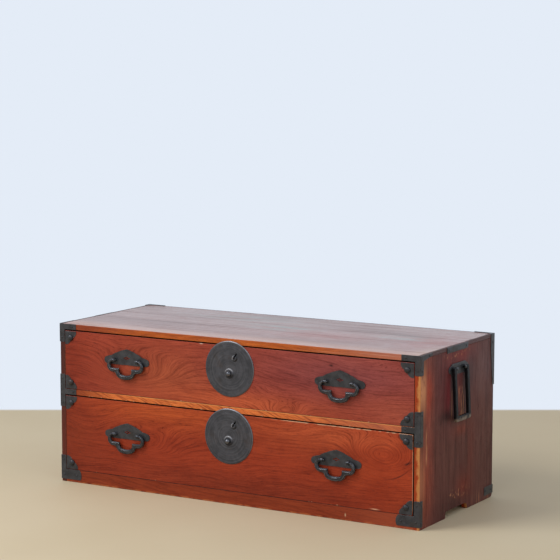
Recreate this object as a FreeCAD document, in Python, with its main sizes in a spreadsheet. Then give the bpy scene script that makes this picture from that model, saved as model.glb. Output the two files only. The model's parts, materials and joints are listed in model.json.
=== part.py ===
import FreeCAD, Part
import math
import os

import Sketcher
from FreeCAD import Placement, Rotation, Vector

# A small two-drawer tansu chest in lacquered wood with forged iron fittings.
# Frame: millimetres, +Z up, the front faces -Y, +X to the viewer's right.
# The origin lies on the floor under the middle of the whole object.

DIMENSIONS = [
    ("case_width", 911.0, "outside width of the wooden case"),
    ("case_depth", 357.0, "outside depth of the wooden case"),
    ("case_height", 364.0, "height of the wooden case"),
    ("board", 13.0, "thickness of the side panels and the top"),
    ("top_rabbet", 5.0, "how far the side panels reach up into the top"),
    ("dado", 5.0, "depth of the housings cut in the side panels"),
    ("back_board", 10.0, "thickness of the back boards"),
    ("back_rabbet", 6.5, "width of the rabbet that holds the back boards"),
    ("back_lap", 8.0, "height of the lap between the two back boards"),
    ("edge_round", 1.2, "soft rounding of exposed wooden edges"),
    ("bottom_rail_height", 29.5, "height of the rail under the lower drawer"),
    ("bottom_rail_depth", 18.0, "depth of the rail under the lower drawer"),
    ("middle_rail_low", 202.0, "underside of the rail between the drawers"),
    ("middle_rail_height", 13.0, "height of the rail between the drawers"),
    ("middle_rail_depth", 45.0, "depth of the rail between the drawers"),
    ("shelf_thick", 9.0, "thickness of the dust board that carries the upper drawer"),
    ("foot_height", 14.5, "height of the notch between the feet"),
    ("foot_notch_front", 121.0, "front end of the foot notch at the floor"),
    ("foot_notch_back", 230.0, "rear end of the foot notch at the floor"),
    ("foot_round_front", 5.0, "rounding of the notch's front corner"),
    ("foot_round_back", 12.0, "rounding of the notch's rear corner"),
    ("heel_round", 9.0, "worn corner at the rear of each side panel's foot"),
    ("drawer_gap", 1.0, "play at each side of a drawer"),
    ("drawer_top_gap", 2.5, "play over a drawer front"),
    ("lower_front_trim", 1.6, "planed off the right end of the lower drawer front"),
    ("drawer_run_gap", 0.5, "play under a drawer"),
    ("drawer_proud", 0.5, "how far a drawer front stands before the case"),
    ("front_thick", 18.0, "thickness of a drawer front"),
    ("front_lip", 6.0, "wood left in front of the drawer sides"),
    ("drawer_side", 10.0, "thickness of a drawer's sides"),
    ("drawer_back", 9.0, "thickness of a drawer's back"),
    ("drawer_bottom", 6.0, "thickness of a drawer's bottom"),
    ("drawer_length", 335.5, "length of a drawer from its front face"),
    ("side_drop", 5.0, "drawer sides below the top of the opening"),
    ("back_drop", 12.0, "drawer back below the top of the opening"),
    ("mortise", 7.0, "depth of the mortise that takes a lock bolt"),
    ("disc_radius", 61.0, "round lock plate"),
    ("disc_rim", 1.3, "thickness of the lock plate at its rim"),
    ("disc_face", 2.6, "thickness of the lock plate inside its bevel"),
    ("disc_crown", 2.75, "thickness of the lock plate at its centre"),
    ("disc_bevel", 2.2, "width of the lock plate's bevel"),
    ("disc_ring", 52.0, "radius of the fine step on the lock plate"),
    ("upper_disc", 298.0, "height of the upper lock plate's centre"),
    ("upper_disc_across", -2.2, "upper lock plate's centre from the middle"),
    ("lower_disc", 150.0, "height of the lower lock plate's centre"),
    ("lower_disc_across", -4.8, "lower lock plate's centre from the middle"),
    ("knob_drop", 10.0, "button centre below the lock plate's centre"),
    ("knob_radius", 6.25, "lock button"),
    ("knob_reach", 5.6, "cylindrical part of the button before the drawer face"),
    ("knob_tail", 12.3, "button behind the drawer face"),
    ("knob_flange", 7.2, "radius of the collar that keeps the button in"),
    ("flange_thick", 0.9, "thickness of that collar"),
    ("flange_play", 0.3, "play of that collar behind the wood"),
    ("wedge_play", 0.4, "play between the button's wedge and the bolt's ramp"),
    ("wedge_reach", 7.6, "half the height cut for the button's wedge"),
    ("running_fit", 0.08, "radial clearance of a pin or button in its hole"),
    ("collar_radius", 11.0, "raised ring round the button"),
    ("collar_height", 4.4, "raised ring, from the drawer face"),
    ("key_across", 15.0, "keyhole centre right of the lock plate's centre"),
    ("key_up", 28.5, "keyhole centre above the lock plate's centre"),
    ("key_slot_length", 15.0, "keyhole length"),
    ("key_slot_width", 3.2, "keyhole width"),
    ("key_boss", 6.0, "radius of the boss round the keyhole's lower end"),
    ("key_boss_drop", 4.0, "boss below the keyhole's centre, along its lean"),
    ("key_boss_height", 5.0, "boss round the keyhole, from the drawer face"),
    ("boss_bevel", 1.2, "bevel of the ring and of the boss"),
    ("key_lean", 26.0, "lean of the keyhole from upright, degrees"),
    ("lock_half_width", 30.0, "half the width of the lock case"),
    ("lock_below", 22.0, "lock case below the button"),
    ("lock_above", 48.0, "lock case above the button"),
    ("lock_depth", 12.0, "depth of the lock case in the drawer front"),
    ("lock_wall", 1.2, "sheet of the lock case"),
    ("bolt_front", 8.5, "front of the lock bolt behind the drawer face"),
    ("bolt_thick", 5.0, "thickness of the lock bolt"),
    ("bolt_half_width", 13.0, "half the width of the lock bolt"),
    ("bolt_stem", 6.0, "half the width of the bolt's stem"),
    ("bolt_head_low", 14.0, "underside of the bolt's head over the button axis"),
    ("bolt_foot", 3.5, "foot of the bolt's ramp below the button axis"),
    ("bolt_play", 0.6, "play of the bolt in its slots"),
    ("spring_thick", 0.8, "leaf of the lock spring"),
    ("pull_left", -272.0, "centre of the left pulls"),
    ("upper_pull_right", 268.5, "centre of the upper right pull"),
    ("lower_pull_right", 260.5, "centre of the lower right pull"),
    ("upper_pull_height", 293.0, "hinge line of the upper pulls"),
    ("lower_pull_height", 125.5, "hinge line of the lower pulls"),
    ("pull_plate_thick", 1.6, "sheet of the pull plates"),
    ("pull_plate_sag", 2.2, "the lower right plate hangs lower on its posts"),
    ("pull_plate_half", 59.7, "half the width of a pull plate"),
    ("pull_plate_top", 25.6, "top of a pull plate over the hinge line"),
    ("pull_plate_low", 9.6, "bottom of a pull plate under the hinge line"),
    ("pierced_across", 4.6, "half the width of a pierced lozenge"),
    ("pierced_up", 1.8, "half the height of a pierced lozenge"),
    ("pierced_middle", 5.5, "middle of the lozenges over the hinge line"),
    ("pierced_bridge", 0.4, "iron left between the lozenges"),
    ("pull_standoff", 6.5, "hinge line of a pull before the drawer face"),
    ("pull_depth", 8.0, "bar of a drawer pull, away from the drawer"),
    ("pull_bevel", 2.2, "flats forged on the corners of a pull's bar"),
    ("pull_pin", 4.6, "hooked end of a drawer pull"),
    ("pull_post", 31.5, "post from the middle of a pull"),
    ("pull_post_head", 4.6, "radius of a pull post's head"),
    ("pull_turn", 36.2, "where the bar turns into its side lobe"),
    ("pull_end_bar", 6.0, "height of the bar where it is hooked"),
    ("pull_lobe_start", 33.75, "where the underside turns up into its side lobe"),
    ("pull_lobe_bow", 4.4, "bow of a side lobe's inside"),
    ("pull_shoulder", 26.3, "underside of the side lobes below the hinge line"),
    ("pull_shoulder_bar", 9.0, "height of the bar under the side lobes"),
    ("pull_cusp", 17.0, "inner cusp from the middle of a pull"),
    ("pull_waist", 24.5, "narrowest outside of the middle lobe"),
    ("pull_waist_drop", 31.0, "height of that place below the hinge line"),
    ("pull_bottom", 13.5, "where the bottom turns into its corner"),
    ("pull_bottom_rise", 1.9, "rise of the bottom to that place"),
    ("pull_inner_corner", 6.0, "width of the middle lobe's inner corners"),
    ("pull_inner_rise", 1.5, "rise of the inner bottom to its corners"),
    ("pull_drop", 42.5, "bottom of a pull below its hinge line"),
    ("pull_bottom_bar", 10.0, "height of the bar at the bottom of a pull"),
    ("pin_end", 2.0, "how far a hooked end stands out of its post"),
    ("post_half_thick", 3.5, "half the thickness of a post's head"),
    ("post_bevel", 1.0, "bevel of a post's head"),
    ("post_shank", 2.3, "radius of a post's shank"),
    ("corner_plate", 31.0, "leg of a drawer's corner plate"),
    ("corner_plate_edge", 0.9, "corner plate inside the drawer's edges"),
    ("corner_plate_tip", 5.0, "blunt tip of a corner plate's leg"),
    ("corner_nail_in", 15.5, "corner nail from the drawer's edges"),
    ("corner_nail_head", 7.4, "radius of a corner nail's dome"),
    ("corner_nail_rise", 5.0, "height of a corner nail's dome"),
    ("iron", 1.2, "sheet of the straps and corner plates"),
    ("strap_front", 12.6, "straps on the front edge of a side panel"),
    ("strap_side", 12.0, "straps on the outside of a side panel"),
    ("top_strap_arm", 44.0, "arm of the top corner strap on the top's edge"),
    ("top_strap_low", 322.0, "lower end of the top corner strap"),
    ("top_strap_tab", 52.0, "tab of the top corner strap along the side"),
    ("middle_strap_arm", 43.0, "arm of the middle strap on the rail"),
    ("middle_strap_low", 174.0, "lower end of the middle strap"),
    ("middle_strap_high", 248.0, "upper end of the middle strap"),
    ("bottom_strap_arm", 55.0, "arm of the bottom strap on the rail"),
    ("bottom_strap_low", 6.0, "lower edge of the bottom strap"),
    ("bottom_strap_high", 61.0, "upper end of the bottom strap"),
    ("rear_strap_wide", 16.0, "rear corner strap at the top"),
    ("rear_strap_narrow", 8.0, "rear corner strap at its lower end"),
    ("rear_strap_drop", 112.0, "length of the rear corner strap down the edge"),
    ("rear_strap_arm", 46.0, "arm of the rear corner strap along the back"),
    ("heel_plate", 43.0, "rear foot plate along the side and the back"),
    ("heel_plate_low", 9.5, "lower edge of the rear foot plate"),
    ("heel_plate_high", 28.0, "upper edge of the rear foot plate"),
    ("guard_right_front", 122.0, "front end of the right edge guard"),
    ("guard_right_back", 223.0, "rear end of the right edge guard"),
    ("guard_left_front", 135.0, "front end of the left edge guard"),
    ("guard_left_back", 204.0, "rear end of the left edge guard"),
    ("guard_thick", 1.5, "sheet of the edge guards"),
    ("strap_nail_head", 2.7, "radius of a strap nail's head"),
    ("strap_nail_rise", 1.0, "height of a strap nail's head"),
    ("handle_plate_length", 94.0, "plate of a carrying handle"),
    ("handle_plate_height", 24.0, "plate of a carrying handle"),
    ("handle_plate_low", 302.0, "lower edge of a carrying handle's plate"),
    ("handle_plate_thick", 1.8, "sheet of a carrying handle's plate"),
    ("handle_hinge", 315.0, "hinge line of the carrying handles"),
    ("handle_middle", 176.0, "middle of the carrying handles behind the case's front"),
    ("handle_standoff", 6.2, "hinge line of a carrying handle before the side"),
    ("handle_width", 72.0, "carrying handle over its legs"),
    ("handle_leg", 11.0, "carrying handle's bar, along the side"),
    ("handle_bar", 7.4, "carrying handle's bar, away from the side"),
    ("handle_bevel", 1.3, "flats filed on the corners of a carrying handle's bar"),
    ("handle_corner", 6.0, "outer corners of a carrying handle"),
    ("handle_hollow", 2.5, "inner corners of a carrying handle"),
    ("handle_end", 2.5, "shoulder of a leg's end above the hinge line"),
    ("handle_end_rise", 0.5, "crown of a leg's end"),
    ("handle_drop", 111.5, "carrying handle below its hinge line"),
    ("handle_lean", 3.0, "lean of the hanging handle off the side, degrees"),
    ("handle_post", 20.5, "post from the middle of a carrying handle"),
    ("handle_post_head", 4.3, "radius of a handle post's head"),
    ("handle_pin", 4.6, "hooked end of a carrying handle"),
    ("peg_thick", 3.6, "square wooden pegs of the case"),
    ("peg_length", 26.0, "wooden pegs of the case"),
]

doc = FreeCAD.newDocument("small_tansu_chest")
sheet = doc.addObject("Spreadsheet::Sheet", "Dimensions")
for row, (alias, number, meaning) in enumerate(DIMENSIONS, start=1):
    sheet.set(f"A{row}", meaning)
    sheet.set(f"B{row}", str(number))
    sheet.setAlias(f"B{row}", alias)
doc.recompute()


class Size:
    """A length that keeps its number and the spreadsheet formula that gives it."""

    def __init__(self, number, formula):
        self.number = number
        self.formula = formula

    def join(self, other, sign, number):
        return Size(number, f"({self.formula} {sign} {formula_of(other)})")

    def __add__(self, other):
        return self.join(other, "+", self.number + number_of(other))

    def __sub__(self, other):
        return self.join(other, "-", self.number - number_of(other))

    def __mul__(self, other):
        return self.join(other, "*", self.number * number_of(other))

    def __truediv__(self, other):
        return self.join(other, "/", self.number / number_of(other))

    def __neg__(self):
        return Size(-self.number, f"(-1 * {self.formula})")

    def __radd__(self, other):
        return self + other

    def __rsub__(self, other):
        return -self + other

    def __rmul__(self, other):
        return self * other


def number_of(size):
    return size.number if isinstance(size, Size) else float(size)


def formula_of(size):
    return size.formula if isinstance(size, Size) else repr(float(size))


class Sheet:
    """Gives every alias of the spreadsheet as a Size."""

    def __getattr__(self, alias):
        return Size(float(sheet.get(alias)), f"Dimensions.{alias}")


dim = Sheet()
parts = {}


def bind(thing, **sizes):
    for name, size in sizes.items():
        thing.setExpression(name, formula_of(size))


def place(thing, across, along, up, turn=None):
    """Move an object to a point; turn is an optional (axis, angle in degrees)."""
    rotation = Rotation(turn[0], number_of(turn[1])) if turn else Rotation()
    thing.Placement = Placement(Vector(*map(number_of, (across, along, up))), rotation)
    for letter, size in zip("xyz", (across, along, up)):
        thing.setExpression(f"Placement.Base.{letter}", formula_of(size))
    return thing


def keep(thing, node):
    """Mark an object as a finished sub-part and give it its node name."""
    thing.Label = node
    parts[node] = thing
    return thing


# ---------------------------------------------------------------- solids by Part

def box(name, low, size):
    """A block from its lowest corner and its size along X, Y and Z."""
    block = doc.addObject("Part::Box", name)
    bind(block, Length=size[0], Width=size[1], Height=size[2])
    return place(block, *low)


def rod(name, start, radius, length, axis):
    """A round bar from a start point along an axis."""
    bar = doc.addObject("Part::Cylinder", name)
    bind(bar, Radius=radius, Height=length)
    place(bar, *start)
    bar.Placement.Rotation = Rotation(Vector(0, 0, 1), axis)
    return bar


def fused(name, pieces):
    joined = doc.addObject("Part::MultiFuse", name)
    joined.Shapes = pieces
    return joined


def cut(name, base, tools):
    result = doc.addObject("Part::Cut", name)
    result.Base = base
    result.Tool = tools[0] if len(tools) == 1 else fused(name + "_tools", tools)
    return result


def rounded(name, base, radius, wanted):
    """Round the edges of a finished solid whose middle points are wanted."""
    doc.recompute()
    edges = [
        number
        for number, edge in enumerate(base.Shape.Edges, start=1)
        if wanted(edge.CenterOfMass, edge)
    ]
    result = doc.addObject("Part::Fillet", name)
    result.Base = base
    result.Edges = [(number, number_of(radius), number_of(radius)) for number in edges]
    return result


def group(node, shape, placements):
    """Separate, identical pieces that share one node."""
    pieces = doc.addObject("Part::Feature", node)
    solids = []
    for placement in placements:
        solid = shape.copy()
        solid.Placement = placement.multiply(shape.Placement)
        solids.append(solid)
    pieces.Shape = Part.makeCompound(solids)
    return keep(pieces, node)


# ------------------------------------------------------- solids by PartDesign

def body(name):
    return doc.addObject("PartDesign::Body", name)


def sketch_on(owner, role, lift=0.0, centre=(0.0, 0.0), turn=0.0):
    """A sketch on one of the body's origin planes, lifted along the plane's normal."""
    plane = next(item for item in owner.Origin.OriginFeatures if item.Role == role)
    sketch = owner.newObject("Sketcher::SketchObject", owner.Name + "_sketch")
    sketch.AttachmentSupport = (plane, [""])
    sketch.MapMode = "FlatFace"
    offset = Vector(number_of(centre[0]), number_of(centre[1]), number_of(lift))
    sketch.AttachmentOffset = Placement(offset, Rotation(Vector(0, 0, 1), number_of(turn)))
    for letter, size in zip("xyz", (centre[0], centre[1], lift)):
        if isinstance(size, Size):
            sketch.setExpression(f"AttachmentOffset.Base.{letter}", size.formula)
    return sketch


def pin_point(sketch, edge, end, across, up):
    for kind, size in (("DistanceX", across), ("DistanceY", up)):
        index = sketch.addConstraint(
            Sketcher.Constraint(kind, -1, 1, edge, end, number_of(size))
        )
        if isinstance(size, Size):
            sketch.setExpression(f"Constraints[{index}]", size.formula)


def add_edge(sketch, start, end, rise):
    """Add a line, or an arc bowed to the left by the rise. Arcs are always drawn
    counter-clockwise. Returns which of its ends, 1 or 2, lies at the start."""
    if rise == 0:
        sketch.addGeometry(Part.LineSegment(start, end))
        return 1
    chord = end - start
    left = Vector(-chord.y, chord.x, 0).normalize()
    middle = (start + end) / 2 + left * rise
    if rise < 0:
        sketch.addGeometry(Part.Arc(start, middle, end))
        return 1
    sketch.addGeometry(Part.Arc(end, middle, start))
    return 2


def rise_of(corner):
    return number_of(corner[2]) if len(corner) == 3 else 0.0


def outline(sketch, corners):
    """A closed outline. Each corner is (across, up) or (across, up, rise), where
    rise bows the edge that follows it out to the left of its direction."""
    count = len(corners)
    points = [Vector(number_of(corner[0]), number_of(corner[1]), 0) for corner in corners]
    near_ends = [
        add_edge(sketch, points[index], points[(index + 1) % count], rise_of(corner))
        for index, corner in enumerate(corners)
    ]
    for index, corner in enumerate(corners):
        following = (index + 1) % count
        pin_point(sketch, index, near_ends[index], corner[0], corner[1])
        sketch.addConstraint(Sketcher.Constraint(
            "Coincident", index, 3 - near_ends[index], following, near_ends[following]
        ))
        chord = points[following].distanceToPoint(points[index])
        if near(abs(rise_of(corner)), chord / 2):
            sketch.addConstraint(Sketcher.Constraint("Symmetric", index, 1, index, 2,
                                                     index, 3))
        elif rise_of(corner):
            radius = sketch.Geometry[index].Radius
            sketch.addConstraint(Sketcher.Constraint("Radius", index, radius))


def square(sketch, across, up, half):
    outline(sketch, [
        (across - half, up - half),
        (across + half, up - half),
        (across + half, up + half),
        (across - half, up + half),
    ])


def circle(sketch, across, up, radius):
    centre = Vector(number_of(across), number_of(up), 0)
    index = sketch.addGeometry(Part.Circle(centre, Vector(0, 0, 1), number_of(radius)))
    pin_point(sketch, index, 3, across, up)
    limit = sketch.addConstraint(Sketcher.Constraint("Radius", index, number_of(radius)))
    if isinstance(radius, Size):
        sketch.setExpression(f"Constraints[{limit}]", radius.formula)


def slot(sketch, half_length, half_width):
    """A round-ended slot along the sketch's vertical axis."""
    outline(sketch, [
        (half_width, -half_length),
        (half_width, half_length, -number_of(half_width)),
        (-half_width, half_length),
        (-half_width, -half_length, -number_of(half_width)),
    ])


def pad(owner, sketch, length, name="pad"):
    feature = owner.newObject("PartDesign::Pad", f"{owner.Name}_{name}")
    feature.Profile = sketch
    bind(feature, Length=length)
    return feature


def pocket(owner, sketch, name="pocket"):
    """Cut right through, both ways from the sketch."""
    feature = owner.newObject("PartDesign::Pocket", f"{owner.Name}_{name}")
    feature.Profile = sketch
    feature.Type = 1
    feature.Midplane = True
    return feature


def turned(owner, sketch, name="turned"):
    """Revolve a profile about the sketch's vertical axis."""
    feature = owner.newObject("PartDesign::Revolution", f"{owner.Name}_{name}")
    feature.Profile = sketch
    feature.ReferenceAxis = (sketch, ["V_Axis"])
    feature.Angle = 360
    return feature


def soften(owner, radius, wanted, name="softened"):
    """Round those edges of a body whose middle points are wanted."""
    doc.recompute()
    names = [
        f"Edge{number}"
        for number, edge in enumerate(owner.Tip.Shape.Edges, start=1)
        if wanted(edge.CenterOfMass)
    ]
    tip = owner.Tip
    feature = owner.newObject("PartDesign::Fillet", f"{owner.Name}_{name}")
    feature.Base = (tip, names)
    bind(feature, Radius=radius)
    return feature


def bevel(owner, size, wanted, name="bevelled"):
    """Chamfer those edges of a body whose middle points are wanted."""
    doc.recompute()
    names = [
        f"Edge{number}"
        for number, edge in enumerate(owner.Tip.Shape.Edges, start=1)
        if wanted(edge.CenterOfMass)
    ]
    tip = owner.Tip
    feature = owner.newObject("PartDesign::Chamfer", f"{owner.Name}_{name}")
    feature.Base = (tip, names)
    bind(feature, Size=size)
    return feature


def near(first, second, reach=0.01):
    return abs(number_of(first) - number_of(second)) < reach


def handed(corners, hand):
    """Mirror an outline for the left-hand side."""
    if hand > 0:
        return corners
    return [(-corner[0], corner[1], *(-rise for rise in corner[2:])) for corner in corners]


def flowing(points, heading):
    """Corners for a chain of arcs through some points. Each arc sets off in the
    direction in which the one before arrived; the last direction comes back too."""
    corners = []
    for start, end in zip(points, points[1:]):
        across = number_of(end[0]) - number_of(start[0])
        up = number_of(end[1]) - number_of(start[1])
        turn = math.atan2(up, across) - heading
        corners.append((*start, -math.hypot(across, up) / 2 * math.tan(turn / 2)))
        heading += turn * 2
    return corners, heading


def symmetric(half):
    """Complete an outline from its right half, which starts and ends on the middle."""
    whole = list(half[:-1])
    for index in range(len(half) - 1, 0, -1):
        rise = half[index - 1][2:]
        whole.append((-half[index][0], half[index][1], *rise))
    return whole


# ------------------------------------------------------------------ main planes

half_width = dim.case_width / 2
inner = half_width - dim.board
front_reach = dim.drawer_proud + dim.knob_reach + dim.knob_radius
rear_reach = dim.iron + dim.strap_nail_rise
front = (front_reach - rear_reach - dim.case_depth) / 2
back = front + dim.case_depth
top_under = dim.case_height - dim.board
middle_rail_top = dim.middle_rail_low + dim.middle_rail_height
drawer_face = front - dim.drawer_proud
bolt_slot_front = drawer_face + dim.bolt_front - dim.bolt_play
bolt_slot_half = dim.bolt_half_width + dim.bolt_play
bolt_slot_thick = dim.bolt_thick + dim.bolt_play * 2
QUARTER_RISE = 1 - math.cos(math.radians(45))


# --------------------------------------------------------------- the wooden case

def side_panel(node, hand):
    """A side panel: one board with two feet, housed for the boards that it carries."""
    panel = body(node + "_board")
    front_round = dim.foot_round_front
    back_round = dim.foot_round_back
    front_batter = 1
    back_batter = 2
    outline(sketch_on(panel, "YZ_Plane"), [
        (0, 0),
        (dim.foot_notch_front, 0),
        (dim.foot_notch_front + front_batter, dim.foot_height - front_round,
         QUARTER_RISE * number_of(front_round)),
        (dim.foot_notch_front + front_batter + front_round, dim.foot_height),
        (dim.foot_notch_back - back_batter - back_round, dim.foot_height,
         QUARTER_RISE * number_of(back_round)),
        (dim.foot_notch_back - back_batter, dim.foot_height - back_round),
        (dim.foot_notch_back, 0),
        (dim.case_depth - dim.heel_round, 0, -QUARTER_RISE * dim.heel_round.number),
        (dim.case_depth, dim.heel_round),
        (dim.case_depth, top_under + dim.top_rabbet),
        (0, top_under + dim.top_rabbet),
    ])
    pad(panel, panel.Group[-1], dim.board)
    outside = inner if hand > 0 else -half_width
    place(panel, outside, front, 0)

    def housing(name, width, start, end, low, high):
        lowest = inner if hand > 0 else -inner - width
        return box(f"{node}_{name}", (lowest, start, low), (width, end - start, high - low))

    shelf_low = middle_rail_top - dim.shelf_thick
    housed = cut(node + "_housed", panel, [
        housing("bottom_dado", dim.dado, front + dim.bottom_rail_depth, back,
                dim.foot_height, dim.bottom_rail_height),
        housing("shelf_dado", dim.dado, front + dim.middle_rail_depth, back,
                shelf_low, middle_rail_top),
        housing("back_rabbet", dim.back_rabbet, back - dim.back_board, back,
                dim.foot_height, top_under),
    ])
    face = half_width * hand
    keep(rounded(node, housed, dim.edge_round, lambda at, edge: near(at.x, face)
                 and (near(at.y, front) or near(at.y, back))), node)


def top_board():
    """The top laps over both side panels and takes the upper lock bolt."""
    slab = box("top_slab", (-half_width, front, top_under),
               (dim.case_width, dim.case_depth, dim.board))
    rabbets = [
        box(f"top_rabbet_{name}", (start, front, top_under),
            (dim.board, dim.case_depth, dim.top_rabbet))
        for name, start in (("left", -half_width), ("right", inner))
    ]
    mortise = box("top_mortise", (dim.upper_disc_across - bolt_slot_half,
                                  bolt_slot_front, top_under),
                  (bolt_slot_half * 2, bolt_slot_thick, dim.mortise))
    shaped = cut("top_shaped", slab, rabbets + [mortise])
    keep(rounded("top_board", shaped, dim.edge_round,
                 lambda at, edge: near(at.z, dim.case_height)), "top_board")


def rails_and_boards():
    clear_width = inner * 2
    keep(box("bottom_rail", (-inner, front, 0),
             (clear_width, dim.bottom_rail_depth, dim.bottom_rail_height)), "bottom_rail")
    rail = box("rail_bar", (-inner, front, dim.middle_rail_low),
               (clear_width, dim.middle_rail_depth, dim.middle_rail_height))
    mortise = box("rail_mortise", (dim.lower_disc_across - bolt_slot_half,
                                   bolt_slot_front, dim.middle_rail_low),
                  (bolt_slot_half * 2, bolt_slot_thick, dim.mortise))
    keep(cut("middle_rail", rail, [mortise]), "middle_rail")

    housed_width = clear_width + dim.dado * 2
    housed_start = -inner - dim.dado
    bottom_start = front + dim.bottom_rail_depth
    keep(box("bottom_board", (housed_start, bottom_start, dim.foot_height),
             (housed_width, back - dim.back_board - bottom_start,
              dim.bottom_rail_height - dim.foot_height)), "bottom_board")
    shelf_start = front + dim.middle_rail_depth
    keep(box("drawer_shelf", (housed_start, shelf_start, middle_rail_top - dim.shelf_thick),
             (housed_width, back - dim.back_board - shelf_start, dim.shelf_thick)),
         "drawer_shelf")


def back_boards():
    """Two boards in the rear rabbet, half-lapped where they meet."""
    start = -inner - dim.back_rabbet
    width = (inner + dim.back_rabbet) * 2
    plane = back - dim.back_board
    half_board = dim.back_board / 2
    lap_low = (dim.foot_height + top_under - dim.back_lap) / 2
    lap_high = lap_low + dim.back_lap
    lower = box("lower_back_slab", (start, plane, dim.foot_height),
                (width, dim.back_board, lap_high - dim.foot_height))
    lower_lap = box("lower_back_lap", (start, plane + half_board, lap_low),
                    (width, half_board, dim.back_lap))
    keep(cut("back_lower_board", lower, [lower_lap]), "back_lower_board")
    upper = box("upper_back_slab", (start, plane, lap_low),
                (width, dim.back_board, top_under - lap_low))
    upper_lap = box("upper_back_lap", (start, plane, lap_low),
                    (width, half_board, dim.back_lap))
    keep(cut("back_upper_board", upper, [upper_lap]), "back_upper_board")


# Pegs down through the top into each side panel: depths from the case's front.
TOP_PEGS = (30, 104, 178, 252, 326)

# Pegs in through each side panel: depth from the case's front, height. Three for the
# rail and the board at the bottom, three for the middle rail and the drawer shelf.
SIDE_PEGS = ((9, 13), (95, 22), (250, 22), (22, 208), (120, 210.5), (290, 210.5))


def case_pegs():
    """Wooden pegs through the top, and through the side panels into what they carry."""
    hidden = 0.3
    thick = dim.peg_thick.number
    peg = Part.makeBox(thick, thick, dim.peg_length.number,
                       Vector(-thick / 2, -thick / 2, 0))
    width = half_width.number
    board_middle = dim.board.number / 2
    places = []
    for hand in (-1, 1):
        for depth in TOP_PEGS:
            point = Vector(hand * (width - board_middle), front.number + depth,
                           dim.case_height.number - dim.peg_length.number - hidden)
            places.append(Placement(point, Rotation()))
        into_case = Rotation(Vector(0, 0, 1), Vector(-hand, 0, 0))
        for depth, height in SIDE_PEGS:
            point = Vector(hand * (width - hidden), front.number + depth, height)
            places.append(Placement(point, into_case))
    group("case_pegs", peg, places)


# ---------------------------------------------------------------- straps and nails

def strap(node, hand, on_front, on_side):
    """A corner strap: one sheet bent round the front edge of a side panel."""
    sheet_iron = body(node)
    outline(sketch_on(sheet_iron, "XZ_Plane"), handed(on_front, hand))
    pad(sheet_iron, sheet_iron.Group[-1], dim.iron, "front")
    lift = 0.0 if hand > 0 else -dim.iron
    outline(sketch_on(sheet_iron, "YZ_Plane", lift), on_side)
    pad(sheet_iron, sheet_iron.Group[-1], dim.iron, "side")
    soften(sheet_iron, dim.iron * 0.8,
           lambda at: near(at.x, dim.iron * hand) and near(at.y, -dim.iron))
    place(sheet_iron, half_width * hand, front, 0)
    keep(sheet_iron, node)


# Straps and guards stop this short of the edge of the wood that they lie on.
STRAP_INSET = 0.4

# A strap's clipped corner, and how far the clip bulges.
CLIP = 3
CLIP_RISE = -1.2


def front_straps(name, hand):
    """Top corner, middle and bottom corner straps of one side."""
    edge = dim.iron
    inside = -dim.strap_front
    high = dim.case_height
    tab_low = high - dim.iron * 5
    below_top = top_under + STRAP_INSET
    strap(f"top_{name}_bracket", hand, [
        (edge, dim.top_strap_low),
        (edge, high),
        (-dim.top_strap_arm, high),
        (-dim.top_strap_arm, below_top),
        (inside, below_top),
        (inside, dim.top_strap_low + CLIP, CLIP_RISE),
        (inside + CLIP, dim.top_strap_low),
    ], [
        (-edge, dim.top_strap_low),
        (dim.strap_side - CLIP, dim.top_strap_low, CLIP_RISE),
        (dim.strap_side, dim.top_strap_low + CLIP),
        (dim.strap_side, high - dim.strap_side),
        (dim.top_strap_tab, tab_low, -0.8),
        (dim.top_strap_tab, high),
        (-edge, high),
    ])
    rail_low = dim.middle_rail_low + STRAP_INSET
    rail_high = middle_rail_top - STRAP_INSET
    low = dim.middle_strap_low
    top = dim.middle_strap_high
    strap(f"middle_{name}_bracket", hand, [
        (edge, low),
        (edge, top),
        (inside + CLIP, top, CLIP_RISE),
        (inside, top - CLIP),
        (inside, rail_high),
        (-dim.middle_strap_arm, rail_high),
        (-dim.middle_strap_arm, rail_low),
        (inside, rail_low),
        (inside, low + CLIP, CLIP_RISE),
        (inside + CLIP, low),
    ], [
        (-edge, low),
        (dim.strap_side - CLIP, low, CLIP_RISE),
        (dim.strap_side, low + CLIP),
        (dim.strap_side, top - CLIP, CLIP_RISE),
        (dim.strap_side - CLIP, top),
        (-edge, top),
    ])
    low = dim.bottom_strap_low
    top = dim.bottom_strap_high
    arm_high = dim.bottom_rail_height - STRAP_INSET
    strap(f"bottom_{name}_bracket", hand, [
        (edge, low),
        (edge, top),
        (inside + CLIP, top, CLIP_RISE),
        (inside, top - CLIP),
        (inside, arm_high),
        (-dim.bottom_strap_arm + CLIP * 2, arm_high, -4.0),
        (-dim.bottom_strap_arm + CLIP, low),
    ], [
        (-edge, low),
        (dim.strap_side - CLIP, low, CLIP_RISE),
        (dim.strap_side, low + CLIP),
        (dim.strap_side, top - CLIP, CLIP_RISE),
        (dim.strap_side - CLIP, top),
        (-edge, top),
    ])


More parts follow.
